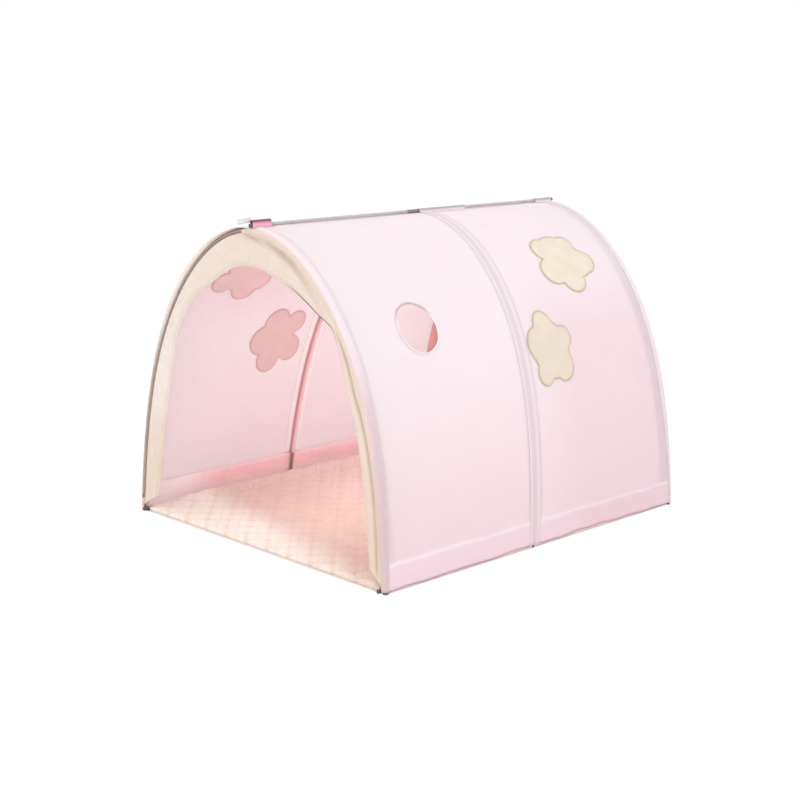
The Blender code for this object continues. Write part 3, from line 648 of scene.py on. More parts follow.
def cover_material(colours, inside):
    """Thin plain-woven cloth, pinker at the foot, where it lies over the pink wall, with painted
    shade towards the floor and over its lower rear half.
    """
    nodes = Surface("cover_cloth_inside" if inside else "cover_cloth")
    colour = colours.cover_inside if inside else colours.cover
    height, shade = nodes.woven(nodes.place("UV"), 1300.0, 0.5, 9.0, 2.5)
    place = nodes.place("Object")
    mottle = nodes.noise(place, 7.0, 4.0, 0.55)
    low = nodes.mix(nodes.fade(mottle, 0.35, 0.7), darker(colour, 0.972), colour)
    cloth = nodes.mix(nodes.fade(shade, 0.3, 0.7), darker(colour, 0.955), low)
    level = nodes.parts(place)["Z"]
    if not inside:
        # Painted shade: darker towards the floor, over the lower part of the rear half and along
        # the rear of the hem.
        cloth = nodes.mix(nodes.fade(level, 0.10, 0.74, 0.95, 0.0), cloth, colours.cover_low_shade)
        rear = nodes.fade(nodes.parts(place)["Y"], 0.0, 0.25)
        middle = nodes.math("MULTIPLY", rear, nodes.fade(level, 0.54, 0.74, 0.65, 0.0))
        cloth = nodes.mix(middle, cloth, tone(244, 226, 232))
        waver = nodes.math("MULTIPLY_ADD", nodes.noise(place, 16.0, 2.0), 0.016, -0.008)
        level = nodes.math("ADD", level, waver)
        band = nodes.fade(level, WALL_TOP - 0.012, WALL_TOP - 0.003, 0.8, 0.0)
        hem = nodes.mix(rear, colours.hem, tone(236, 204, 213))
        cloth = nodes.mix(band, cloth, hem)
    else:
        crown = nodes.fade(level, 0.50, 0.72, 0.0, 0.6)
        cloth = nodes.mix(crown, cloth, tone(247, 224, 230))
    through = nodes.fade(level, WALL_TOP - 0.004, WALL_TOP + 0.008, 0.06, 0.33)
    return nodes.cloth(cloth, height, 0.0004, 0.82, through)


def pocket_material(name, colours, sizes, side_shade):
    """The rod pocket: cream towards the opening, a colour of painted shade on its cover side,
    darker towards the floor by painted shade, with a painted highlight on its lip.
    """
    nodes = Surface(name)
    cloth_place = nodes.place("UV")
    height, shade = nodes.woven(cloth_place, 1100.0, 0.6, 16.0, 3.0)
    across, run = nodes.parts(cloth_place)[:2]
    turn = sizes.pocket_front + POCKET_WRAP * 0.47
    beside = nodes.fade(across, turn, turn + 0.0035)
    shaded = darker(colours.pocket_front, 0.86)
    colour = nodes.mix(nodes.fade(shade, 0.25, 0.7, 0.5, 0.0), colours.pocket_front, shaded)
    level = nodes.level()
    # Painted shade: darker towards the floor on the facing side and on the cover side, and paler
    # on the cover side higher up.
    colour = nodes.mix(nodes.fade(level, 0.15, 0.45, 0.8, 0.0), colour, tone(230, 204, 200))
    low = nodes.mix(nodes.fade(level, 0.10, 0.40), darker(side_shade, 0.93), side_shade)
    side = nodes.mix(nodes.fade(level, 0.38, 0.62), low, tone(251, 237, 243))
    colour = nodes.mix(beside, colour, side)
    # Painted highlight: the lip beside the bare rod is painted paler than the facing.
    colour = nodes.mix(nodes.kept("lip"), colour, tone(255, 246, 236))
    row = nodes.math("SUBTRACT", nodes.kept("from_seam"), 0.0035)
    height, stitch = nodes.sewn(row, run, height)
    colour = nodes.mix(stitch["Thread"], colour, colours.cover)
    return nodes.cloth(colour, height, 0.0005, 0.85, 0.15)


def facing_material(colours):
    """Cream cloth, darker towards the floor, with painted tan shade in its creases and stitch
    dents, a painted shadow under its brim, a painted highlight on its left leg and a stitched
    inner hem.
    """
    nodes = Surface("facing_cloth")
    place = nodes.place("UV")
    height, shade = nodes.woven(place, 1000.0, 0.7, 20.0, 3.5)
    crease = nodes.kept("crease")
    grain = nodes.noise(nodes.scaled(place, (60, 9, 1)), 1.0, 3.0, 0.6)
    tan = nodes.math("MULTIPLY", crease, nodes.fade(grain, 0.2, 0.6, 0.6, 1.0))
    level = nodes.level()
    cream = nodes.mix(nodes.fade(level, 0.10, 0.50, 1.0, 0.0), colours.facing, tone(247, 227, 210))
    # Painted highlight: the left leg's upper part is painted paler.
    left = nodes.fade(nodes.parts(nodes.place("Object"))["X"], -0.44, -0.20, 0.9, 0.0)
    left = nodes.math("MULTIPLY", left, nodes.fade(level, 0.20, 0.42))
    cream = nodes.mix(left, cream, tone(254, 245, 241))
    colour = nodes.mix(nodes.fade(shade, 0.25, 0.7, 0.3, 0.0), cream, colours.crease)
    colour = nodes.mix(tan, colour, colours.crease)
    inner = nodes.kept("from_inner_edge")
    brim = nodes.kept("shadowed_brim")
    brim = nodes.math("MULTIPLY", brim, nodes.fade(inner, 0.0030, 0.0055, 1.0, 0.0))
    colour = nodes.mix(brim, colour, tone(158, 132, 126))
    run = nodes.parts(place)["Y"]
    row = nodes.math("SUBTRACT", inner, 0.008)
    height, stitch = nodes.sewn(row, run, height)
    # Painted shade in the stitches' dents.
    colour = nodes.mix(nodes.math("MULTIPLY", stitch["Dent"], 0.25), colour, colours.crease)
    colour = nodes.mix(stitch["Thread"], colour, tone(252, 244, 232))
    return nodes.cloth(colour, height, 0.0006, 0.88, 0.12)


def tape_material(name, middle, edge, start, end):
    """Narrow tape, ribbed across, in two colours that meet at distances from its middle."""
    nodes = Surface(name)
    place = nodes.place("UV")
    across, run = nodes.parts(place)[:2]
    rib = nodes.math("SINE", nodes.math("MULTIPLY", run, 3600.0))
    weave = nodes.group("plain_weave", Place=place, Threads=1500.0, Slubs=0.5)
    height = nodes.math("MULTIPLY_ADD", rib, 0.25, weave["Height"])
    away = nodes.math("ABSOLUTE", across)
    colour = nodes.mix(nodes.fade(away, start, end), middle, edge)
    colour = nodes.mix(nodes.fade(weave["Shade"], 0.3, 0.7, 0.25, 0.0), colour, darker(edge, 0.8))
    row = nodes.math("SUBTRACT", away, end + 0.0015)
    height, stitch = nodes.sewn(row, run, height, -1.5, 0.0036)
    colour = nodes.mix(stitch["Thread"], colour, tone(250, 226, 232))
    return nodes.cloth(colour, height, 0.0004, 0.8, 0.0)


def plain_cloth(name, colour, shaded, threads, slubs, through):
    """A woven cloth with uneven dye."""
    nodes = Surface(name)
    height, shade = nodes.woven(nodes.place("Object"), threads, slubs, 14.0, 2.5)
    mottle = nodes.noise(nodes.place("Object"), 9.0, 4.0, 0.6)
    dyed = nodes.mix(nodes.fade(mottle, 0.3, 0.72), shaded, colour)
    dyed = nodes.mix(nodes.fade(shade, 0.3, 0.7, 0.35, 0.0), dyed, shaded)
    return nodes.cloth(dyed, height, 0.0005, 0.86, through)


def patch_material(name, colour, satin_and_pucker_shade, through):
    """A cloud patch: soft plush cloth with a close zigzag over its edge, painted shade in the
    puckers beside it, and painted shade on the lower clouds.
    """
    nodes = Surface(name)
    place = nodes.place("Object")
    nap = nodes.noise(place, 900.0, 3.0, 0.7)
    mottle = nodes.noise(place, 26.0, 4.0, 0.6)
    split = nodes.parts(nodes.place("UV"))
    inward = split["Y"]
    zigzag = nodes.math("PINGPONG", split["X"], 0.0011)
    zigzag = nodes.math("MULTIPLY", zigzag, 1.6)
    limit = nodes.math("ADD", zigzag, 0.0028)
    satin = nodes.math("LESS_THAN", inward, limit)
    pucker = nodes.fade(inward, 0.002, 0.014, 1.0, 0.0)
    wrinkle = nodes.noise(nodes.scaled(nodes.place("UV"), (150, 18, 1)), 1.0, 2.0)
    wrinkle = nodes.math("MULTIPLY", wrinkle, pucker)
    colour_now = nodes.mix(nodes.fade(mottle, 0.3, 0.7), darker(colour, 0.93), colour)
    # Painted shade: the lower clouds are painted darker.
    low = nodes.fade(nodes.parts(place)["Z"], 0.54, 0.64, 0.5, 0.0)
    colour_now = nodes.mix(low, colour_now, darker(colour, 0.86))
    # Painted shade in the puckers beside the edge.
    colour_now = nodes.mix(nodes.math("MULTIPLY", wrinkle, 0.7), colour_now, satin_and_pucker_shade)
    colour_now = nodes.mix(nodes.math("MULTIPLY", satin, 0.8), colour_now, satin_and_pucker_shade)
    height = nodes.math("MULTIPLY_ADD", nap, 0.4, nodes.math("MULTIPLY", wrinkle, 2.2))
    height = nodes.math("MULTIPLY_ADD", satin, 0.8, height)
    return nodes.cloth(colour_now, height, 0.0009, 0.92, through)


def mat_material(colours, sizes):
    """Brushed quilted cloth with sewn diamonds in lit and shaded copies of one colour: cream in
    painted light at the front, salmon in painted pink shade behind and paler towards the rear,
    with painted shade in the seams' valleys and towards the right front corner.
    """
    nodes = Surface("mat_cloth")
    place = nodes.place("Object")
    split = nodes.parts(place)
    from_front = nodes.math("ADD", split["Y"], LENGTH / 2)
    waver = nodes.math("MULTIPLY_ADD", nodes.noise(place, 9.0, 3.0), 0.09, -0.045)
    slant = nodes.math("MULTIPLY_ADD", split["X"], 0.22, from_front)
    depth = nodes.math("ADD", slant, waver)
    # Painted light: the cream front is the cloth where light falls in at the opening; the salmon
    # behind is the same cloth painted in the tunnel's pink shade.
    back = nodes.fade(depth, sizes.painted_light_front - 0.07, sizes.painted_light_front + 0.07)
    mottle = nodes.noise(place, 22.0, 4.0, 0.65)
    salmon = nodes.mix(nodes.fade(mottle, 0.3, 0.7), darker(colours.mat, 0.93), colours.mat)
    behind = nodes.fade(split["Y"], -0.35, 0.15)
    salmon = nodes.mix(behind, salmon, tone(242, 212, 202))
    # Painted shade: darker towards the right front corner.
    corner = nodes.math("SUBTRACT", split["X"], split["Y"])
    salmon = nodes.mix(nodes.fade(corner, 0.55, 0.95, 0.0, 0.55), salmon, tone(222, 176, 158))
    colour = nodes.mix(back, colours.mat_painted_light, salmon)
    # Painted shade in the valleys along the sewn lines.
    valley_shade = nodes.fade(nodes.kept("puff"), 0.0, 0.6, 0.4, 0.0)
    colour = nodes.mix(valley_shade, colour, tone(222, 176, 156))
    weave = nodes.group("plain_weave", Place=place, Threads=900.0, Slubs=0.7)
    crease = nodes.group("soft_creases", Place=place, Scale=38.0)
    height = nodes.math("MULTIPLY_ADD", crease["Height"], 4.0, weave["Height"])
    half = math.sqrt(0.5)
    thread = None
    for sign in (1.0, -1.0):
        run = nodes.math("MULTIPLY_ADD", split["Y"], sign, split["X"])
        run = nodes.math("MULTIPLY", run, half)
        cross = nodes.math("MULTIPLY_ADD", split["Y"], -sign, split["X"])
        cross = nodes.math("MULTIPLY", cross, half)
        away = nodes.math("PINGPONG", run, sizes.quilt_pitch / 2)
        height, stitch = nodes.sewn(away, cross, height, -2.5, 0.0045)
        thread = nodes.math("MAXIMUM", thread, stitch["Thread"]) if thread else stitch["Thread"]
    colour = nodes.mix(thread, colour, tone(248, 222, 208))
    return nodes.cloth(colour, height, 0.0006, 0.95, 0.0)


def groundsheet_material(colours):
    """Strong pink cloth with a paler folded edge on top of its walls and a pale front."""
    nodes = Surface("groundsheet_cloth")
    place = nodes.place("Object")
    height, shade = nodes.woven(place, 900.0, 0.5, 14.0, 3.0)
    split = nodes.parts(place)
    mottle = nodes.noise(place, 12.0, 4.0, 0.6)
    shaded = darker(colours.groundsheet, 0.9)
    colour = nodes.mix(nodes.fade(mottle, 0.3, 0.7), shaded, colours.groundsheet)
    colour = nodes.mix(nodes.fade(shade, 0.3, 0.7, 0.4, 0.0), colour, shaded)
    top = nodes.fade(split["Z"], WALL_TOP - 0.012, WALL_TOP - 0.007)
    colour = nodes.mix(nodes.math("MULTIPLY", top, 0.45), colour, tone(250, 214, 220))
    foot = nodes.fade(split["Z"], 0.016, 0.040, 0.85, 0.0)
    colour = nodes.mix(foot, colour, tone(249, 221, 216))
    front = nodes.fade(split["Y"], -0.47, -0.28, 1.0, 0.0)
    colour = nodes.mix(front, colour, tone(251, 230, 234))
    brink = nodes.fade(split["Y"], -0.588, -0.580, 1.0, 0.0)
    colour = nodes.mix(brink, colour, tone(247, 234, 232))
    row = nodes.math("SUBTRACT", split["Z"], WALL_TOP - 0.010)
    height, stitch = nodes.sewn(row, split["Y"], height)
    colour = nodes.mix(stitch["Thread"], colour, tone(252, 220, 226))
    return nodes.cloth(colour, height, 0.0005, 0.86, 0.0)


def sleeve_material(colours):
    """Dusty pink tunnel round the rod with edges darkened by painted shade, on flanges of cover
    cloth.
    """
    nodes = Surface("middle_sleeve_cloth")
    place = nodes.place("UV")
    split = nodes.parts(place)
    height, shade = nodes.woven(place, 1200.0, 0.5, 16.0, 3.0)
    away = nodes.math("ABSOLUTE", split["X"])
    bore = math.pi * SLEEVE_MIDDLE / 2 + 0.008
    # Painted shade: the sleeve's sides are painted darker.
    edge = nodes.fade(away, bore * 0.30, bore * 0.72)
    colour = nodes.mix(edge, colours.tape, colours.tape_edge_shade)
    colour = nodes.mix(nodes.fade(shade, 0.3, 0.7, 0.3, 0.0), colour, colours.tape_edge_shade)
    flange = nodes.fade(away, bore + 0.001, bore + 0.003)
    colour = nodes.mix(flange, colour, colours.cover_inside)
    row = nodes.math("SUBTRACT", away, bore + 0.004)
    height, stitch = nodes.sewn(row, split["Y"], height, pitch=0.0040)
    colour = nodes.mix(stitch["Thread"], colour, tone(250, 214, 222))
    return nodes.cloth(colour, height, 0.0004, 0.84, 0.06)


def band_material(colours, sizes):
    """The band over the middle seam, painted with the shadow of the middle sleeve and rod seen
    through the cover: darkest in its front part, darker and pinker towards the floor.
    """
    nodes = Surface("seam_band_cloth")
    place = nodes.place("UV")
    across, run = nodes.parts(place)[:2]
    height, shade = nodes.woven(place, 1300.0, 0.5, 12.0, 2.5)
    half = sizes.seam_band / 2
    # Painted shadow of the middle sleeve and rod seen through the cover, darkest in the front
    # half.
    front = nodes.fade(across, -half, -half * 0.75)
    deep_shadow = nodes.fade(across, -half * 0.8, -half * 0.35)
    pale = nodes.fade(across, half * 0.05, half * 0.40)
    colour = nodes.mix(front, colours.cover, colours.band)
    colour = nodes.mix(deep_shadow, colour, colours.band_front_shadow)
    colour = nodes.mix(pale, colour, tone(247, 234, 239))
    level = nodes.level()
    # Painted shade: darker and pinker towards the floor.
    low = nodes.fade(level, 0.08, 0.60, 0.9, 0.0)
    tint = nodes.mix(low, (1.0, 1.0, 1.0), (0.955, 0.905, 0.905))
    colour = nodes.add("VectorMath", {0: colour, 1: tint}, operation="MULTIPLY").outputs[0]
    colour = nodes.mix(nodes.fade(shade, 0.3, 0.7, 0.3, 0.0), colour, colours.band_front_shadow)
    row = nodes.math("SUBTRACT", nodes.math("ABSOLUTE", across), half - 0.004)
    height, stitch = nodes.sewn(row, run, height, -1.5)
    thread = nodes.math("MULTIPLY", stitch["Thread"], 0.5)
    colour = nodes.mix(thread, colour, colours.cover)
    return nodes.cloth(colour, height, 0.0005, 0.84, 0.08)


def binding_material(colours):
    """Tape round a look-out hole: the cover's colour, grey in the shade of its upper arc."""
    nodes = Surface("binding_tape")
    height, shade = nodes.woven(nodes.place("UV"), 1500.0, 0.4, 14.0, 2.0)
    upper = nodes.fade(nodes.kept("upper"), 0.25, 0.8, 0.1, 1.0)
    colour = nodes.mix(upper, colours.cover, colours.binding)
    colour = nodes.mix(nodes.fade(shade, 0.3, 0.7, 0.25, 0.0), colour, colours.binding)
    return nodes.cloth(colour, height, 0.0004, 0.84, 0.0)


def rod_material(name, skin):
    """Pultruded glass fibre: fine lines along the rod and a worn, satin skin."""
    nodes = Surface(name)
    place = nodes.place("Object")
    wear = nodes.group("handled_wear", Place=place, Scale=60.0)
    fibres = nodes.noise(nodes.scaled(place, (900, 40, 40)), 1.0, 3.0)
    colour = nodes.mix(fibres, darker(skin, 0.72), skin)
    colour = nodes.mix(nodes.math("MULTIPLY", wear["Wear"], 0.5), colour, darker(skin, 1.25))
    return nodes.hard(colour, fibres, 0.4, 0.0002, nodes.fade(wear["Wear"], 0, 1, 0.42, 0.62))


def rubber_material(colours):
    """Moulded rubber with a dusty bloom."""
    nodes = Surface("rubber")
    wear = nodes.group("handled_wear", Place=nodes.place("Object"), Scale=180.0)
    dust = nodes.math("MULTIPLY", wear["Wear"], 0.35)
    colour = nodes.mix(dust, colours.rubber, tone(120, 116, 118))
    roughness = nodes.fade(wear["Wear"], 0, 1, 0.62, 0.85)
    return nodes.hard(colour, wear["Height"], 0.5, 0.0002, roughness)


def steel_material(colours):
    """Drawn steel tube with lines round it and dull, handled spots."""
    nodes = Surface("drawn_steel")
    place = nodes.place("Object")
    wear = nodes.group("handled_wear", Place=place, Scale=90.0)
    lines = nodes.noise(nodes.scaled(place, (30, 30, 2400)), 1.0, 2.0)
    colour = nodes.mix(wear["Wear"], colours.steel, darker(colours.steel, 0.7))
    nodes.shader.inputs["Metallic"].default_value = 1.0
    return nodes.hard(colour, lines, 0.3, 0.0001, nodes.fade(wear["Wear"], 0, 1, 0.28, 0.5))


def sheet_grid(across_cells, up_cells, low, high):
    """A flat grid, and its vertices' places across and up."""
    bm = bmesh.new()
    bmesh.ops.create_grid(bm, x_segments=across_cells, y_segments=up_cells, size=0.5)
    size = (high[0] - low[0], high[1] - low[1], 1)
    bmesh.ops.scale(bm, vec=size, verts=bm.verts)
    centre = ((low[0] + high[0]) / 2, (low[1] + high[1]) / 2, 0)
    bmesh.ops.translate(bm, vec=centre, verts=bm.verts)
    return bm, *flat_places(bm)[:, :2].T


def flat_places(bm):
    return np.array([vert.co[:] for vert in bm.verts])


def set_places(bm, places):
    for vert, spot in zip(bm.verts, places):
        vert.co = spot


def mark(bm, name, values):
    """Keeps a number at each vertex, for a material to read."""
    layer = bm.verts.layers.float.new(name)
    for vert, value in zip(bm.verts, values):
        vert[layer] = float(value)


def keep_cloth_map(bm, places=None):
    """Stores each vertex's flat place in metres as the UV map."""
    layer = bm.loops.layers.uv.new("cloth")
    bm.verts.index_update()
    for face in bm.faces:
        for loop in face.loops:
            vert = loop.vert
            loop[layer].uv = vert.co.xy if places is None else places[vert.index]


def bend(bm, place):
    """Moves every vertex from its flat place to place(across, up, out)."""
    flat = flat_places(bm)
    set_places(bm, place(flat[:, 0], flat[:, 1], flat[:, 2]))
    return bm


def half_turn(bm):
    """Turns a front piece round to the rear end."""
    turn = Matrix.Rotation(math.pi, 4, "Z")
    bmesh.ops.rotate(bm, cent=(0, 0, 0), matrix=turn, verts=bm.verts)


def close_up(bm):
    """Joins the edges that meet and turns every face outwards."""
    bmesh.ops.remove_doubles(bm, verts=bm.verts, dist=0.00005)
    bmesh.ops.recalc_face_normals(bm, faces=bm.faces)


def along_path(share, path):
    """Points at shares of the length of a path of (across, up) points, and the lengths."""
    corners = np.array(path)
    steps = np.hypot(*np.diff(corners, axis=0).T)
    run = np.concatenate([[0], np.cumsum(steps)])
    at = share * run[-1]
    return np.interp(at, run, corners[:, 0]), np.interp(at, run, corners[:, 1]), at


def round_path(radius, start, end, points=13):
    """Points on a circle from one angle to another, in radians."""
    turns = np.linspace(start, end, points)
    return [(radius * math.cos(t), radius * math.sin(t)) for t in turns]


def tube(radius, start, end, rings, sides=20):
    """A closed straight tube along Y, round the origin."""
    bm = bmesh.new()
    bmesh.ops.create_circle(bm, segments=sides, radius=radius)
    turn = Matrix.Translation((0, start, 0)) @ Matrix.Rotation(math.pi / 2, 4, "X")
    bmesh.ops.transform(bm, matrix=turn, verts=bm.verts)
    step = (0, (end - start) / rings, 0)
    bmesh.ops.spin(
        bm,
        geom=bm.verts[:] + bm.edges[:],
        cent=(0, 0, 0),
        axis=(0, 1, 0),
        dvec=step,
        angle=0,
        steps=rings,
    )
    bmesh.ops.holes_fill(bm, edges=bm.edges)
    bmesh.ops.recalc_face_normals(bm, faces=bm.faces)
    return bm


def turned(profile):
    """A solid of revolution about Z from (radius, height) points on its outer line."""
    bm = bmesh.new()
    line = [bm.verts.new((radius, 0, height)) for radius, height in profile]
    edges = [bm.edges.new(pair) for pair in zip(line, line[1:])]
    bmesh.ops.spin(
        bm,
        geom=[*line, *edges],
        cent=(0, 0, 0),
        axis=(0, 0, 1),
        angle=2 * math.pi,
        steps=32,
        use_merge=True,
    )
    close_up(bm)
    return bm


def add_piece(name, bm, materials, body="tunnel", replaces=(), thickness=CLOTH):
    """A bmesh as a piece on a CAD body. A cloth sheet is given its thickness."""
    mesh = bpy.data.meshes.new(name)
    bm.to_mesh(mesh)
    bm.free()
    mesh.shade_smooth()
    for material in materials:
        mesh.materials.append(material)
    piece = bpy.data.objects.new(name, mesh)
    bpy.context.scene.collection.objects.link(piece)
    if thickness:
        wall = piece.modifiers.new("thickness", "SOLIDIFY")
        wall.thickness = thickness
        wall.offset = 0
        wall.material_offset = len(materials) - 1
    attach(piece, body)
    if replaces:
        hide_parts(*replaces)
    return piece


def settings(context):
    return context.scene.tunnel_sizes, context.scene.tunnel_colours


def punch_hole(bm, centre, radius):
    """Cuts a round hole in a flat grid and draws the nearest points onto its circle."""
    middle = Vector((*centre, 0))
    inside = [f for f in bm.faces if (f.calc_center_median() - middle).length < radius]
    bmesh.ops.delete(bm, geom=inside, context="FACES")
    rim = {v for e in bm.edges if e.is_boundary for v in e.verts}
    for vert in rim:
        away = vert.co - middle
        if away.length < 1.3 * radius:
            vert.co = middle + away.normalized() * radius


class TUNNEL_OT_hoops(Operator):
    """Makes the three sprung hoops, their ferrules, feet and tips"""

    bl_idname = "play_tunnel.hoops"
    bl_label = "Hoops"

    def execute(self, context):
        colours = context.scene.tunnel_colours
        fibre = rod_material("hoop_fibre", colours.rod)
        steel, rubber = steel_material(colours), rubber_material(colours)
        third = ARCH.total / 3
        low = ARCH.arc_at(ROD_START)
        rods = {
            "right": (low, third),
            "crown": (third, 2 * third),
            "left": (2 * third, ARCH.total - low),
        }
        for place, line in HOOP_LINES.items():
            for part, (start, end) in rods.items():
                bm = tube(ROD_RADIUS, start, end, ROD_RINGS)
                bend(bm, lambda x, s, z: ARCH.place(s, line(s) + x, z))
                node = f"{place}_hoop_{part}_rod"
                add_piece(node + "_fibre", bm, [fibre], replaces=[node])
            for part, middle in (("right", third), ("left", 2 * third)):
                half = FERRULE_LENGTH / 2
                bm = tube(FERRULE_RADIUS, middle - half, middle + half, FERRULE_RINGS)
                bend(bm, lambda x, s, z: ARCH.place(s, line(s) + x, z))
                node = f"{place}_hoop_{part}_ferrule"
                add_piece(node + "_tube", bm, [steel], replaces=[node])
        for end, y in (("front", -END_HOOP_Y), ("rear", END_HOOP_Y)):
            for side, x in (("left", -ARCH.x[0]), ("right", ARCH.x[0])):
                bm = turned(FOOT_OUTLINE)
                bmesh.ops.translate(bm, vec=(x, y, 0), verts=bm.verts)
                node = f"{end}_{side}_foot"
                add_piece(node + "_cap", bm, [rubber], replaces=[node])
        for side in ("left", "right"):
            node = f"middle_{side}_tip"
            lowest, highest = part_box(node)
            bm = turned(HOOP_TIP_OUTLINE)
            centre = (lowest + highest) / 2
            bmesh.ops.translate(bm, vec=(centre.x, centre.y, lowest.z), verts=bm.verts)
            add_piece(node + "_cap", bm, [rubber], replaces=[node])
        return {"FINISHED"}


class TUNNEL_OT_straight_rods(Operator):
    """Makes the ridge rod and the two base rods with their ferrules and tips"""

    bl_idname = "play_tunnel.straight_rods"
    bl_label = "Straight rods"

    def execute(self, context):
        colours = context.scene.tunnel_colours
        fibre = rod_material("straight_fibre", colours.ridge)
        steel, rubber = steel_material(colours), rubber_material(colours)
        kinds = {
            "front_half": (fibre, "glass_fibre_rod"),
            "rear_half": (fibre, "glass_fibre_rod"),
            "ferrule": (steel, "ferrule_steel"),
            "front_tip": (rubber, "rod_cap_rubber"),
            "rear_tip": (rubber, "rod_cap_rubber"),
        }
        for rod in ("ridge_rod", "left_base_rod", "right_base_rod"):
            for part, (material, slot) in kinds.items():
                node = f"{rod}_{part}"
                low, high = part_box(node)
                middle = (low + high) / 2
                if part.endswith("tip"):
                    bm = turned(ROD_TIP_OUTLINE)
                    lean = math.pi / 2 if part == "front_tip" else -math.pi / 2
                    turn = Matrix.Rotation(lean, 4, "X")
                    bmesh.ops.rotate(bm, cent=(0, 0, 0), matrix=turn, verts=bm.verts)
                    bmesh.ops.translate(bm, vec=(0, middle.y, 0), verts=bm.verts)
                else:
                    bm = tube(half_height(node), low.y, high.y, 4)
                bmesh.ops.translate(bm, vec=(middle.x, 0, middle.z), verts=bm.verts)
                add_piece(node + "_round", bm, [material], rod, [node])
        return {"FINISHED"}


def tray_sheet():
    """The groundsheet: up one wall, over the floor and up the other wall."""
    arcs = np.linspace(WALL_TOP, WALL_FOOT, 14)
    right = [tuple(ARCH.place(s, 0.0, SLEEVE_MIDDLE)[[0, 2]]) for s in arcs]
    foot = right[-1][0]
    right += [(foot - 0.001, CLOTH / 2 + 0.001), (foot - 0.004, CLOTH / 2)]
    path = [(-x, z) for x, z in right] + right[::-1]
    bm, share, y = sheet_grid(90, 200, (0, -LENGTH / 2), (1, LENGTH / 2))
    x, z, run = along_path(share, path)
    keep_cloth_map(bm, np.stack([run, y], -1))
    wall = smooth((np.abs(x) - 0.45) / 0.03) * smooth((z - 0.01) / 0.03)
    inward = 0.0022 * wall * (rolling(y, z * 2, 0.09, 2.2) - 0.3) - 0.0015 * fold_marks(y) * wall
    set_places(bm, np.stack([x + np.sign(x) * inward, y, z], -1))
    foot_x, foot_y = ARCH.x[0] - FOOT_CLEAR, END_HOOP_Y - FOOT_CLEAR
    corner = [v for v in bm.verts if abs(v.co.x) > foot_x and abs(v.co.y) > foot_y]
    bmesh.ops.delete(bm, geom=corner, context="VERTS")
    return bm


def channel_sheet(sign):
    """The tape over the base rod on the side that sign gives."""
    bm, share, y = sheet_grid(16, 160, (0, -CHANNEL_REACH), (1, CHANNEL_REACH))
    drop = FERRULE_RADIUS - CLOTH / 2
    arch = round_path(SLEEVE_MIDDLE, math.pi, 0)
    x, z, run = along_path(share, [(-SLEEVE_MIDDLE, -drop), *arch, (SLEEVE_MIDDLE, -drop)])
    keep_cloth_map(bm, np.stack([run - run.max() / 2, y], -1))
    swell = 1 + 0.05 * rolling(y, x, 0.05, 4.4)
    spots = [sign * BASE_ROD_X + x * swell, y, BASE_ROD_Z + np.where(z > 0, z * swell, z)]
    set_places(bm, np.stack(spots, -1))
    return bm


class TUNNEL_OT_groundsheet(Operator):
    """Makes the tray under the mat and the two tapes that hold the base rods"""

    bl_idname = "play_tunnel.groundsheet"
    bl_label = "Groundsheet"

    def execute(self, context):
        colours = context.scene.tunnel_colours
        tones = (colours.channel, colours.channel_dark)
        channel = tape_material("channel_tape", *tones, 0.007, 0.0105)
        tray = add_piece(
            "groundsheet_tray",
            tray_sheet(),
            [groundsheet_material(colours)],
            replaces=["groundsheet"],
        )
        for side, sign in (("left", -1), ("right", 1)):
            node = f"{side}_base_channel"
            bm = channel_sheet(sign)
            add_piece(node + "_tape", bm, [channel], replaces=[node])
        return {"FINISHED"}


def mat_weave(x, y):
    """Places over the mat in diamonds: whole numbers lie on the sewn lines."""
    p, q = x / MAT_CELL[0] / 2, y / MAT_CELL[1] / 2
    return p + q + 0.5, p - q + 0.5


def mat_puff(x, y):
    """How far a point of the mat is into a diamond: 0 on a sewn line, 1 in the middle."""
    first, second = mat_weave(x, y)
    rise = np.abs(np.sin(math.pi * first)) * np.abs(np.sin(math.pi * second))
    return rise**0.45


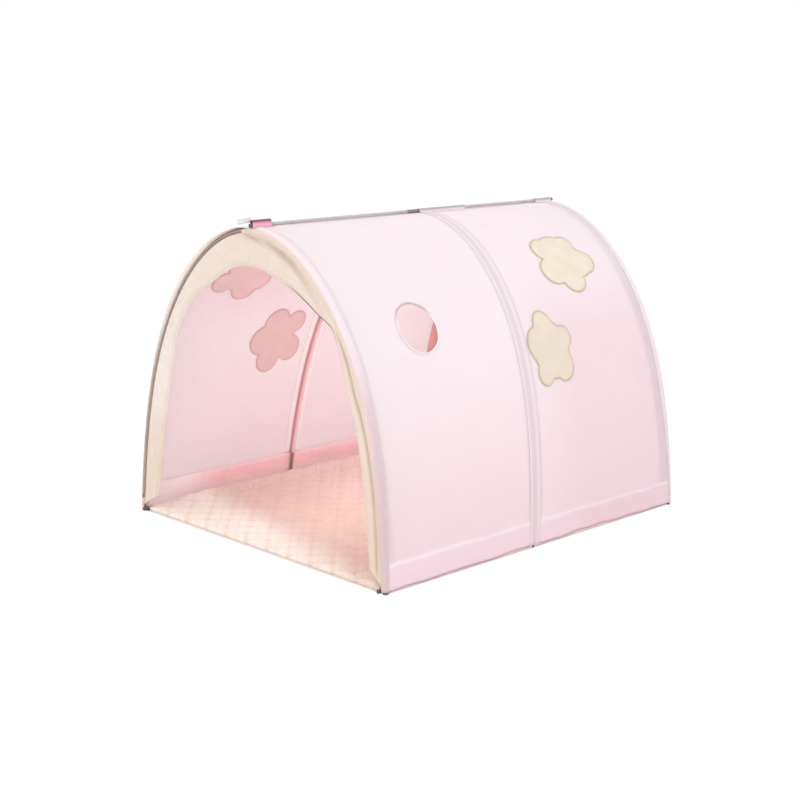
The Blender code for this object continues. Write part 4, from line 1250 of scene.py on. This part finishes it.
class TUNNEL_OT_mat(Operator):
    """Makes the quilted mat"""

    bl_idname = "play_tunnel.mat"
    bl_label = "Mat"

    def execute(self, context):
        sizes, colours = settings(context)
        low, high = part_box("quilted_mat")
        bm, *_ = sheet_grid(174, 214, (low.x, low.y), (high.x, high.y))
        rim = [e for e in bm.edges if e.is_boundary]
        for drop in (0.45, 0.85, 1.0):
            made = bmesh.ops.extrude_edge_only(bm, edges=rim)["geom"]
            rim = [g for g in made if isinstance(g, bmesh.types.BMEdge)]
            for vert in {v for e in rim for v in e.verts}:
                vert.co.z = -drop
        bmesh.ops.contextual_create(bm, geom=rim)
        bmesh.ops.triangulate(bm, faces=[f for f in bm.faces if len(f.verts) > 4])
        flat = flat_places(bm)
        x, y, depth = flat.T
        inset = np.minimum(high.x - np.abs(x), high.y - np.abs(y))
        roll = np.sqrt(np.clip(1 - (1 - np.clip(inset / MAT_ROLL, 0, 1)) ** 2, 0, 1))
        puff = mat_puff(x, y)
        top = sizes.mat_thickness - sizes.quilt_depth * (1 - puff)
        top += 0.0012 * rolling(x * 0.7, y * 2.2, 0.05, 7.7) * puff
        behind = smooth((y - low.y - sizes.painted_light_front + 0.10) / 0.12)
        pulls = rolling((x + y) * 0.3, (x - y) * 1.6, 0.022, 4.3)
        top += 0.0009 * pulls * behind
        side = smooth((np.abs(x) - high.x + MAT_SIDE) / MAT_SIDE)
        rise = MAT_SIDE_RISE * side * smooth((y - low.y - 0.04) / 0.15)
        top += rise
        edge = MAT_EDGE + 0.8 * rise
        crest = edge + (top - edge) * roll
        z = FLOOR_TOP + np.where(depth < 0, edge * (1 + depth), crest)
        tuck = np.where(depth < 0, 0.003 * depth**2, 0)
        spots = [x - np.sign(x) * tuck, y - np.sign(y) * tuck, z]
        mark(bm, "puff", puff)
        set_places(bm, np.stack(spots, -1))
        bmesh.ops.recalc_face_normals(bm, faces=bm.faces)
        pad = add_piece(
            "quilted_mat_pad",
            bm,
            [mat_material(colours, sizes)],
            "mat",
            ["quilted_mat"],
            thickness=0,
        )
        return {"FINISHED"}


class TUNNEL_OT_middle_sleeve(Operator):
    """Makes the sleeve inside that holds the middle hoop and the band outside over its seam"""

    bl_idname = "play_tunnel.middle_sleeve"
    bl_label = "Middle sleeve"

    def execute(self, context):
        sizes, colours = settings(context)
        path = [
            (-SEAM_REACH, FLANGE_LAYER),
            (-SLEEVE_MIDDLE - 0.003, FLANGE_LAYER),
            (-SLEEVE_MIDDLE, FLANGE_LAYER - 0.002),
            *round_path(SLEEVE_MIDDLE, math.pi, 2 * math.pi),
            (SLEEVE_MIDDLE, FLANGE_LAYER - 0.002),
            (SLEEVE_MIDDLE + 0.003, FLANGE_LAYER),
            (SEAM_REACH, FLANGE_LAYER),
        ]
        start = WALL_TOP
        bm, share, arc = sheet_grid(30, 280, (0, start), (1, ARCH.total - start))
        across, out, run = along_path(share, path)
        keep_cloth_map(bm, np.stack([run - run.max() / 2, arc], -1))
        out = np.where(out < 0, out * (1 + 0.06 * rolling(across, arc, 0.03, 9.1)), out)
        set_places(bm, ARCH.place(arc, seam_y(arc) + across, out))
        sleeve = add_piece(
            "middle_sleeve_cloth",
            bm,
            [sleeve_material(colours)],
            replaces=["middle_sleeve"],
        )

        half = sizes.seam_band / 2
        cloth = band_material(colours, sizes)
        for side in ("right", "left"):
            bm, across, share = sheet_grid(12, 150, (-half, 0), (half, 1))
            low = hem_arc(np.full_like(share, MIDDLE_BASE_Y), sizes)
            arc = low + share * (ARCH.total / 2 - RIDGE_GAP - low)
            if side == "left":
                arc = ARCH.total - arc
            keep_cloth_map(bm, np.stack([across, arc], -1))
            lift = np.clip(np.cos(math.pi * across / sizes.seam_band), 0, 1) ** 0.7
            lift = 0.0008 * lift * (1 + 0.4 * rolling(across, arc, 0.04, 2.9))
            out = cover_out(seam_y(arc) + across, arc, sizes) + PATCH_LAYER + lift
            set_places(bm, ARCH.place(arc, seam_y(arc) + across, out))
            bmesh.ops.recalc_face_normals(bm, faces=bm.faces)
            node = f"{side}_seam_band"
            add_piece(node + "_cloth", bm, [cloth], replaces=[node])
        return {"FINISHED"}


def slot_share(arc, place):
    """How far a pocket gapes over its rod: the front one does, left of the crown."""
    if place == "rear":
        return arc * 0
    return smooth((arc - SLOT_START) / 0.05) * smooth((ARCH.total - 0.025 - arc) / 0.03)


def front_plane(arc, inward, sizes, opened):
    """Y of the front facing, which slopes back from the hoop to its inner edge."""
    slope = sizes.facing_set_back * (inward - 0.003) / facing_width(arc, sizes)
    return FACING_FRONT + SLOT_SET_BACK * opened + slope


def facing_width(arc, sizes):
    """Width of the facing, wide and slack at the crown, with a notch at each shoulder."""
    fit = sum(np.interp(arc + shift, *FACING_LINE) for shift in (-0.008, 0, 0.008)) / 3
    return sizes.facing_leg + (sizes.facing_crown - sizes.facing_leg) * fit


def facing_cut(sizes):
    """Area of a facing as cut, between its pocket and its inner edge."""
    arc = np.linspace(0, ARCH.total, 300)
    width = facing_width(arc, sizes)
    middle = ARCH.place(arc, arc * 0, -width / 2)
    steps = np.linalg.norm(np.diff(middle, axis=0), axis=1)
    return float(np.sum(steps * (width[1:] + width[:-1]) / 2))


def pocket_sheet(place, sizes):
    """A rod pocket: a flap on the facing, the way round the rod and a strip on the cover."""
    start, end = POCKET_FEET[0], ARCH.total - POCKET_FEET[1]
    bm, column, arc = sheet_grid(POCKET_CELLS, 280, (0, start), (POCKET_CELLS, end))
    opened = slot_share(arc, place)
    before, after = 0.47 * (1 - opened), 0.53 + 0.12 * opened
    to_slot = before * np.clip(column - FLAP_CELLS, 0, WRAP_CELLS) / WRAP_CELLS
    from_slot = (1 - after) * np.clip(column - LIP_COLUMN, 0, WRAP_CELLS) / WRAP_CELLS
    turn = np.where(column < SLOT_COLUMN, to_slot, after + from_slot)
    angle = POCKET_TILT - POCKET_SWEEP * turn
    above = np.minimum(arc, ARCH.total - arc)
    side = sizes.pocket_side * (0.35 + 0.65 * smooth(above / 0.35))
    beyond = np.clip(column - COVER_COLUMN, 0, SIDE_CELLS) / SIDE_CELLS * side
    lip = opened * np.clip((COVER_COLUMN - column) / WRAP_CELLS, 0, 1) * (column > SLOT_COLUMN)
    fringe = lip * (0.002 + 0.010 * bump_at(arc, 1.42, 0.20))
    radius = COVER_LAYER + PATCH_LAYER
    y = -END_HOOP_Y + radius * np.cos(angle) + beyond
    out = radius * np.sin(angle) + fringe

    on_flap = column < FLAP_CELLS
    inward = np.clip(FLAP_CELLS - column, 0, FLAP_CELLS) / FLAP_CELLS * sizes.pocket_front
    depth = inward - radius * math.sin(POCKET_TILT)
    y = np.where(on_flap, front_plane(arc, depth, sizes, opened) - PATCH_LAYER, y)
    out = np.where(on_flap, -depth, out)

    lie = cover_out(y, arc, sizes) + PATCH_LAYER
    pressed = out - ridge_press(y, arc) * (column >= FLAP_CELLS)
    out = np.where(column > COVER_COLUMN, lie, pressed)
    pulls = rolling(column * 0.012, arc, 0.035, 6.6)
    ease = 0.0007 * pulls * np.sin(math.pi * np.clip(column / POCKET_CELLS, 0, 1))
    out = out + ease * (column > FLAP_CELLS)
    y = y - np.abs(ease) * (column <= COVER_COLUMN)

    wrapped = sizes.pocket_front + POCKET_WRAP * turn + beyond
    run = np.where(on_flap, sizes.pocket_front - inward, wrapped)
    keep_cloth_map(bm, np.stack([run, arc], -1))
    near_lip = opened * (column > SLOT_COLUMN) * (COVER_COLUMN + 0.2 - column)
    mark(bm, "lip", np.clip(near_lip, 0, 1))
    mark(bm, "from_seam", np.where(column > COVER_COLUMN - 0.5, side - beyond, 1.0))
    bare = []
    for face in bm.faces:
        spot = face.calc_center_median()
        gape = float(slot_share(np.array(spot.y), place))
        on_slot = LIP_COLUMN - 1 < spot.x < LIP_COLUMN
        if gape > 0.5 and spot.x < LIP_COLUMN or gape > 0 and on_slot:
            bare.append(face)
    set_places(bm, beside_base_rod(ARCH.place(arc, y, out)))
    bmesh.ops.delete(bm, geom=bare, context="FACES")
    return bm


def lining_sheet(place):
    """The strip of lining under the cover, beside an end hoop."""
    bm, share, arc = sheet_grid(6, 220, (0, LINING_END), (1, ARCH.total - LINING_END))
    keep_cloth_map(bm)
    y = -END_HOOP_Y + 0.009 + share * LINING_WIDTHS[place]
    set_places(bm, ARCH.place(arc, y, COVER_LAYER - 0.0022 - ridge_press(y, arc)))
    return bm


def pocket_back():
    """The cloth on the inner side of the bare rod, seen in the front pocket's slot."""
    bm, share, arc = sheet_grid(16, 240, (0, SLOT_START - 0.02), (1, ARCH.total - 0.004))
    path = [(0.0012, -0.0170), (-0.0008, -0.0105)]
    path += round_path(BACKING_RADIUS, math.radians(240), math.radians(400), 12)
    path.append((0.0075, 0.0054))
    y, out, run = along_path(share, path)
    keep_cloth_map(bm, np.stack([run * 0.2, arc], -1))
    mark(bm, "from_seam", np.ones_like(arc))
    set_places(bm, beside_base_rod(ARCH.place(arc, y - END_HOOP_Y, out)))
    return bm


class TUNNEL_OT_pockets(Operator):
    """Makes the cloth pockets that hold the end hoops"""

    bl_idname = "play_tunnel.pockets"
    bl_label = "Pockets"

    def execute(self, context):
        sizes, colours = settings(context)
        shade = darker(colours.lining, 0.8)
        lining = plain_cloth("lining_cloth", colours.lining, shade, 1200, 0.5, 0.1)
        front = pocket_material("front_pocket_cloth", colours, sizes, colours.pocket)
        # The rear pocket's cover side takes the cover's painted low shade.
        rear = pocket_material("rear_pocket_cloth", colours, sizes, colours.cover_low_shade)
        for place, cloth in (("front", front), ("rear", rear)):
            pocket, strip = pocket_sheet(place, sizes), lining_sheet(place)
            if place == "rear":
                half_turn(pocket)
                half_turn(strip)
            node = f"{place}_sleeve"
            add_piece(f"{place}_pocket", pocket, [cloth], replaces=[node])
            add_piece(f"{place}_pocket_lining", strip, [lining])
        add_piece("front_pocket_back", pocket_back(), [front])
        return {"FINISHED"}


class TUNNEL_OT_facings(Operator):
    """Makes the cream facings round both openings"""

    bl_idname = "play_tunnel.facings"
    bl_label = "Facings"

    def execute(self, context):
        sizes, colours = settings(context)
        material = facing_material(colours)
        for place in ("front", "rear"):
            bm, share, up = sheet_grid(26, 320, (0, 0), (1, 1))
            start = FACING_FOOT + sizes.facing_rise * (1 - share)
            arc = start + up * (ARCH.total - 2 * start)
            width = facing_width(arc, sizes)
            opened = slot_share(arc, place)
            outer = FACING_SEAM + 0.0015 * opened
            inward = outer + (1 - share) * (width - outer)
            y = front_plane(arc, inward, sizes, opened)
            fold, crease = facing_folds(arc, inward, width)
            fold = fold * smooth((inward - outer) / 0.010)
            # Painted shadow along the facing's lower edge, where it meets the mat, kept with the
            # creases' shade.
            mitre = np.exp(-(((1 - up) * (ARCH.total - 2 * start) / 0.004) ** 2))
            crease = np.maximum(crease, 0.9 * mitre)
            mark(bm, "crease", crease)
            mark(bm, "from_inner_edge", width - inward)
            brim = smooth((arc - 0.63) / 0.04) * smooth((0.94 - arc) / 0.12)
            mark(bm, "shadowed_brim", brim)
            keep_cloth_map(bm, np.stack([inward, arc], -1))
            set_places(bm, ARCH.place(arc, y + sizes.fold * fold, -inward))
            if place == "rear":
                half_turn(bm)
            name, node = f"{place}_facing_cloth", f"{place}_facing"
            facing = add_piece(name, bm, [material], replaces=[node])
            facing_cut(sizes)
        return {"FINISHED"}


def facing_folds(arc, inward, width):
    """Depth back of the facing's folds and the share of painted tan shade in its creases, under
    its upper folds and along its inner edge.
    """
    line = np.interp(arc, *CREASE_LINE)
    on_leg = smooth((0.70 - arc) / 0.05) * smooth((arc - 0.02) / 0.05)
    crease = bump_at(inward, line, 0.0062) * on_leg
    lip = bump_at(inward, line + 0.010, 0.006) * on_leg
    upper = bump_at(arc, 0.93, 0.13) * bump_at(inward, 0.020, 0.013)
    apex = bump_at(arc, 1.09, 0.05) * bump_at(inward, 0.020 + (1.09 - arc) * 0.25, 0.007)
    edge = bump_at(arc, 0.76, 0.07) * bump_at(inward, width - 0.002, 0.003)
    soft = rolling(arc, inward * 0.6, 0.09, 3.8) * smooth(inward / 0.03)
    long_folds = rolling(arc * 0.35, inward * 2.4, 0.03, 5.2)
    slack = 0.4 + smooth((width - 0.07) / 0.03)
    depth = crease * 0.7 - 0.5 * lip + 0.6 * upper + 0.8 * apex + slack * (soft + 0.4 * long_folds)
    rim = 0.22 * bump_at(inward, width, 0.004)
    band = bump_at(arc, 0.93, 0.15) * bump_at(inward, 0.016 + 0.06 * (1.08 - arc), 0.012)
    tan = 1.1 * crease + 0.3 * upper + 0.8 * band + 0.6 * apex + edge + rim
    return depth, np.clip(tan, 0, 1)


class TUNNEL_OT_look_outs(Operator):
    """Makes the tapes round the two look-out holes"""

    bl_idname = "play_tunnel.look_outs"
    bl_label = "Look-out holes"

    def execute(self, context):
        sizes, colours = settings(context)
        wide = sizes.binding
        path = [
            (wide, 0.0011),
            (wide * 0.5, 0.0016),
            (0.0, 0.0015),
            (-0.0010, 0.0),
            (0.0, -0.0015),
            (wide * 0.5, -0.0016),
            (wide, -0.0011),
        ]
        material = binding_material(colours)
        for place, sign in (("front", -1), ("rear", 1)):
            middle = PORTHOLE_ARC if sign < 0 else ARCH.total - PORTHOLE_ARC
            bm, round_share, cross = sheet_grid(144, 12, (0, 0), (1, 1))
            away, up, run = along_path(cross, path)
            angle = 2 * math.pi * round_share
            reach = PORTHOLE_RADIUS + away
            y = sign * PORTHOLE_Y + reach * np.cos(angle)
            arc = middle + reach * np.sin(angle)
            keep_cloth_map(bm, np.stack([run, angle * PORTHOLE_RADIUS], -1))
            mark(bm, "upper", -sign * np.sin(angle))
            out = cover_out(y, arc, sizes) + up
            set_places(bm, ARCH.place(arc, y, out))
            close_up(bm)
            node = f"{place}_porthole_binding"
            add_piece(node + "_tape", bm, [material], replaces=[node])
        return {"FINISHED"}


def cloud_reach(angle, length, height, puffs):
    """A cloud's outline at each angle round its centre, as distances along and up."""
    ray = np.stack([np.cos(angle), np.sin(angle)], -1)
    reach = np.zeros_like(angle)
    for across, up, radius in puffs:
        ahead = ray @ np.array([across, up])
        inside = radius**2 - (across**2 + up**2 - ahead**2)
        reach = np.maximum(reach, np.where(inside > 0, ahead + np.sqrt(np.abs(inside)), 0))
    return ray[:, 0] * reach * length, ray[:, 1] * reach * height


def cloud_sheet(which, layer, sizes):
    """A cloud's patch, just outside the cover, or its lining, just inside it, whose colour is the
    patch's painted shadow as seen through the cover.
    """
    middle, spot, length, height, puffs = CLOUDS[which]
    bm, round_share, inner = sheet_grid(160, 14, (0, 0), (1, 1))
    angle = 2 * math.pi * round_share
    along, up = cloud_reach(angle, length, height, puffs)
    keep = 1 - inner**1.4
    local = np.hypot(along, up) * (1 - keep)
    keep_cloth_map(bm, np.stack([angle * length * 0.45, local], -1))
    y, arc = middle + along * keep, spot + up * keep
    if which.startswith("front"):
        arc = ARCH.total - arc
    pucker = rolling(np.cos(angle) * 0.2, np.sin(angle) * 0.2, 0.011, spot * 30)
    near = np.exp(-local / 0.010)
    lift = 0.0011 * near * pucker + 0.0010 * (1 - near)
    out = cover_out(y, arc, sizes)
    if layer == "patch":
        out = out + PATCH_LAYER + LAYER_GAP + np.abs(lift)
    else:
        out = out - PATCH_LAYER - LAYER_GAP - 0.4 * np.abs(lift)
    set_places(bm, ARCH.place(arc, y, out))
    close_up(bm)
    return bm


class TUNNEL_OT_clouds(Operator):
    """Makes the cloud patches outside and their linings inside, painted with the patches' shadow
    as seen through the cover
    """

    bl_idname = "play_tunnel.clouds"
    bl_label = "Clouds"

    def execute(self, context):
        sizes, colours = settings(context)
        outside = patch_material("cloud_cloth", colours.patch, tone(214, 190, 160), 0.12)
        # The linings carry the patches' painted shadow as seen through the cover.
        inside = patch_material("cloud_lining", colours.patch_shadow_inside, tone(228, 178, 180), 0.15)
        for which in CLOUDS:
            node = f"{which}_cloud"
            patch = cloud_sheet(which, "patch", sizes)
            add_piece(node + "_patch", patch, [outside], replaces=[node])
            lining = cloud_sheet(which, "lining", sizes)
            add_piece(node + "_lining", lining, [inside])
        return {"FINISHED"}


class TUNNEL_OT_ridge_loops(Operator):
    """Makes the loops that hold the ridge rod and the pull tab at its front end"""

    bl_idname = "play_tunnel.ridge_loops"
    bl_label = "Ridge loops"

    def execute(self, context):
        sizes, colours = settings(context)
        # The front loop's dark top is painted shadow.
        pink = tape_material("front_loop_tape", colours.loop_top_shadow, colours.loop, 0.004, 0.008)
        pale = tape_material("loop_tape", tone(176, 168, 170), colours.band, 0.005, 0.012)
        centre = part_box("ridge_rod_ferrule")
        level = (centre[0].z + centre[1].z) / 2
        flange = SLEEVE_MIDDLE + 0.010
        slack = FRONT_LOOP_SLACK / SLEEVE_MIDDLE
        drop = 0.0050
        path = [
            (-flange, -drop),
            (-SLEEVE_MIDDLE - 0.0015, -drop),
            (-SLEEVE_MIDDLE, -drop + 0.0015),
            *round_path(SLEEVE_MIDDLE, math.pi, 0),
            (SLEEVE_MIDDLE, -drop + 0.0015),
            (SLEEVE_MIDDLE + 0.0015, -drop),
            (flange, -drop),
        ]
        for place, (low, high) in LOOP_SPANS.items():
            bm, share, y = sheet_grid(26, 40, (0, low), (1, high))
            x, z, run = along_path(share, path)
            keep_cloth_map(bm, np.stack([run - run.max() / 2, y], -1))
            crown = np.full_like(y, ARCH.total / 2)
            ground = ARCH.place(crown, y, cover_out(y, crown, sizes))[:, 2]
            foot = ground + PATCH_LAYER - (level - drop)
            near = smooth((-z) / drop)
            bow = 1 + 0.04 * rolling(x, y, 0.02, 5.9)
            if place == "front":
                z = z + np.clip(z, 0, None) * slack
            set_places(bm, np.stack([x * bow, y, level + z + near * foot], -1))
            node = f"{place}_ridge_loop"
            cloth = pink if place == "front" else pale
            add_piece(node + "_tape", bm, [cloth], replaces=[node])
        bm, share, up = sheet_grid(24, 6, (0, -TAB_WIDTH / 2), (1, TAB_WIDTH / 2))
        x, y, run = along_path(share, TAB_PATH)
        keep_cloth_map(bm, np.stack([up, run], -1))
        z = TAB_LEVEL + up * (1 + 0.1 * np.sin(run * 60)) + (y + 0.6) * 0.08
        set_places(bm, np.stack([x, y, z], -1))
        tape = tape_material("tab_tape", tone(234, 234, 235), tone(226, 226, 228), 0.003, 0.005)
        add_piece("front_pull_tab", bm, [tape])
        return {"FINISHED"}


def hem_tube(side, wall, sizes):
    """Round piping in a cover's hem, from its end hoop to the middle one."""
    ends = (side * END_HOOP_Y - side * HEM_INSET, MIDDLE_BASE_Y + side * HEM_INSET)
    bm = tube(PIPING_RADIUS, *sorted(ends), 120, sides=8)

    def in_hem(x, y, z):
        arc = hem_arc(y, sizes) + x
        arc = arc if wall == "right" else ARCH.total - arc
        return ARCH.place(arc, y, cover_out(y, arc, sizes) + z)

    bend(bm, in_hem)
    bmesh.ops.recalc_face_normals(bm, faces=bm.faces)
    return bm


class TUNNEL_OT_covers(Operator):
    """Makes the two cover panels, each with its look-out hole and its piped hem"""

    bl_idname = "play_tunnel.covers"
    bl_label = "Covers"

    def execute(self, context):
        sizes, colours = settings(context)
        materials = [cover_material(colours, False), cover_material(colours, True)]
        # The piping's dark mauve is partly painted shadow: it stands for the shadow gap under the
        # hem as well as the piping itself.
        piping = plain_cloth("hem_piping", tone(206, 168, 180), tone(160, 128, 140), 1400, 0.5, 0)
        gap = LAYER_GAP / 2
        for place, side in (("front", -1), ("rear", 1)):
            bm, across, up = sheet_grid(84, 310, (0, 0), (1, 1))
            edge = side * END_HOOP_Y
            seam = seam_y(up * ARCH.total) + side * gap
            start, end = (edge, seam) if side < 0 else (seam, edge)
            along = start + across * (end - start)
            hem = hem_arc(along, sizes)
            set_places(bm, np.stack([along, hem + up * (ARCH.total - 2 * hem), 0 * up], -1))
            arc = PORTHOLE_ARC if side < 0 else ARCH.total - PORTHOLE_ARC
            punch_hole(bm, (side * PORTHOLE_Y, arc), PORTHOLE_RADIUS)
            keep_cloth_map(bm)
            bend(bm, lambda y, s, z: ARCH.place(s, y, cover_out(y, s, sizes) + z))
            piece = add_piece(
                f"{place}_cover_cloth",
                bm,
                materials,
                replaces=[f"{place}_cover"],
            )
            hems = []
            for wall in ("right", "left"):
                bm = hem_tube(side, wall, sizes)
                hems.append(f"{place}_{wall}_hem_piping")
                add_piece(hems[-1], bm, [piping], thickness=0)
            parts = [f"{place}_porthole_binding_tape", *hems]
            parts += [f"{place}_pocket", f"{place}_pocket_lining"]
            if side < 0:
                parts += ["front_pocket_back", "front_pull_tab"]
                parts += ["right_seam_band_cloth", "left_seam_band_cloth"]
            for which in ("upper", "lower"):
                parts += [f"{place}_{which}_cloud_patch", f"{place}_{which}_cloud_lining"]
        return {"FINISHED"}


class TUNNEL_OT_stage(Operator):
    """Makes the floor, the lights and the camera"""

    bl_idname = "play_tunnel.stage"
    bl_label = "Stage"

    def execute(self, context):
        add_floor(context.scene.tunnel_colours.floor)
        add_world()
        add_lights()
        add_camera()
        context.scene.view_settings.view_transform = "Standard"
        return {"FINISHED"}


def add_camera():
    """Stands where the photograph was taken from."""
    data = bpy.data.cameras.new("camera")
    data.lens = CAMERA_LENS
    data.sensor_width = 36.0
    data.shift_x, data.shift_y = CAMERA_SHIFT
    camera = bpy.data.objects.new("camera", data)
    bpy.context.scene.collection.objects.link(camera)
    azimuth, elevation = math.radians(CAMERA_AZIMUTH), math.radians(CAMERA_ELEVATION)
    back = Vector(
        (
            math.sin(azimuth) * math.cos(elevation),
            -math.cos(azimuth) * math.cos(elevation),
            math.sin(elevation),
        )
    )
    camera.location = back * CAMERA_DISTANCE + Vector((0, 0, CAMERA_TARGET))
    turn = (-back).to_track_quat("-Z", "Y").to_matrix()
    roll = Matrix.Rotation(math.radians(CAMERA_ROLL), 3, "Z")
    camera.rotation_euler = (turn @ roll).to_euler()
    bpy.context.scene.camera = camera


def add_floor(colour):
    """A pale floor that keeps the tunnel's shadow and shows white to the camera."""
    bm = bmesh.new()
    bmesh.ops.create_grid(bm, x_segments=4, y_segments=4, size=30.0)
    nodes = Surface("floor")
    grain = nodes.noise(nodes.place("Object"), 3.0, 3.0)
    mottled = nodes.mix(grain, darker(colour, 0.98), colour)
    nodes.feed(nodes.shader.inputs["Base Color"], mottled)
    nodes.shader.inputs["Roughness"].default_value = 0.9
    white = nodes.add("Emission", {"Color": (1.0, 1.0, 1.0), "Strength": 1.04})
    share = nodes.math("MULTIPLY", nodes.seen_directly(), FLOOR_GLOW)
    nodes.show(share, nodes.shader.outputs[0], white.outputs[0])
    mesh = bpy.data.meshes.new("floor")
    bm.to_mesh(mesh)
    bm.free()
    mesh.materials.append(nodes.material)
    floor = bpy.data.objects.new("floor", mesh)
    bpy.context.scene.collection.objects.link(floor)


def add_world():
    """Even light from all round, and plain white where it is seen directly."""
    world = bpy.data.worlds.new("studio")
    world.use_nodes = True
    nodes = Nodes(world.node_tree)
    lit = world.node_tree.nodes["Background"]
    lit.inputs["Color"].default_value = (1.0, 0.995, 0.99, 1)
    lit.inputs["Strength"].default_value = 1.0
    white = nodes.add("Background", {"Color": (1.0, 1.0, 1.0), "Strength": 1.0})
    nodes.show(nodes.seen_directly(), lit.outputs[0], white.outputs[0], "World Output")
    bpy.context.scene.world = world


def add_lamp(name, kind, spot, power):
    """A lamp that the camera doesn't see."""
    data = bpy.data.lights.new(name, kind)
    data.energy = power
    lamp = bpy.data.objects.new(name, data)
    lamp.location = spot
    lamp.visible_camera = False
    bpy.context.scene.collection.objects.link(lamp)
    return lamp


def add_lights():
    """Three softboxes round the tunnel and a row of soft fills inside it."""
    softboxes = {  # place, width in metres, power in watts
        "front_softbox": ((0.4, -3.4, 3.0), 2.4, 20.0),
        "side_softbox": ((3.0, -0.4, 3.6), 2.6, 30.0),
        "left_fill": ((-3.0, -2.2, 1.8), 2.6, 12.0),
    }
    for name, (spot, width, power) in softboxes.items():
        lamp = add_lamp(name, "AREA", spot, power)
        lamp.data.shape = "DISK"
        lamp.data.size = width
        aim = Vector((0, 0, 0.35)) - lamp.location
        lamp.rotation_euler = aim.to_track_quat("-Z", "Y").to_euler()
    for k, (y, power) in enumerate(((-0.42, 0.8), (-0.14, 1.0), (0.16, 1.35), (0.46, 1.5))):
        lamp = add_lamp(f"inside_fill_{k}", "POINT", (0.0, y, 0.34), power)
        lamp.data.shadow_soft_size = 0.10


class TUNNEL_PT_panel(Panel):
    """Lists the tunnel's pieces, sizes and colours"""

    bl_idname = "TUNNEL_PT_panel"
    bl_label = "Play Tunnel"
    bl_space_type = "VIEW_3D"
    bl_region_type = "UI"
    bl_category = "Play Tunnel"

    def draw(self, context):
        for operator in OPERATORS:
            self.layout.operator(operator.bl_idname)
        for group in settings(context):
            box = self.layout.box()
            for name in group.__annotations__:
                box.prop(group, name)


OPERATORS = (
    TUNNEL_OT_hoops,
    TUNNEL_OT_straight_rods,
    TUNNEL_OT_groundsheet,
    TUNNEL_OT_mat,
    TUNNEL_OT_middle_sleeve,
    TUNNEL_OT_pockets,
    TUNNEL_OT_facings,
    TUNNEL_OT_look_outs,
    TUNNEL_OT_clouds,
    TUNNEL_OT_ridge_loops,
    TUNNEL_OT_covers,
    TUNNEL_OT_stage,
)
CLASSES = (TunnelSizes, TunnelColours, *OPERATORS, TUNNEL_PT_panel)


def register():
    for cls in CLASSES:
        bpy.utils.register_class(cls)
    bpy.types.Scene.tunnel_sizes = PointerProperty(type=TunnelSizes)
    bpy.types.Scene.tunnel_colours = PointerProperty(type=TunnelColours)


def unregister():
    del bpy.types.Scene.tunnel_colours
    del bpy.types.Scene.tunnel_sizes
    for cls in reversed(CLASSES):
        bpy.utils.unregister_class(cls)


def main():
    register()
    bpy.ops.play_tunnel.hoops()
    bpy.ops.play_tunnel.straight_rods()
    bpy.ops.play_tunnel.groundsheet()
    bpy.ops.play_tunnel.mat()
    bpy.ops.play_tunnel.middle_sleeve()
    bpy.ops.play_tunnel.pockets()
    bpy.ops.play_tunnel.facings()
    bpy.ops.play_tunnel.look_outs()
    bpy.ops.play_tunnel.clouds()
    bpy.ops.play_tunnel.ridge_loops()
    bpy.ops.play_tunnel.covers()
    bpy.ops.play_tunnel.stage()


if __name__ == "__main__":
    main()
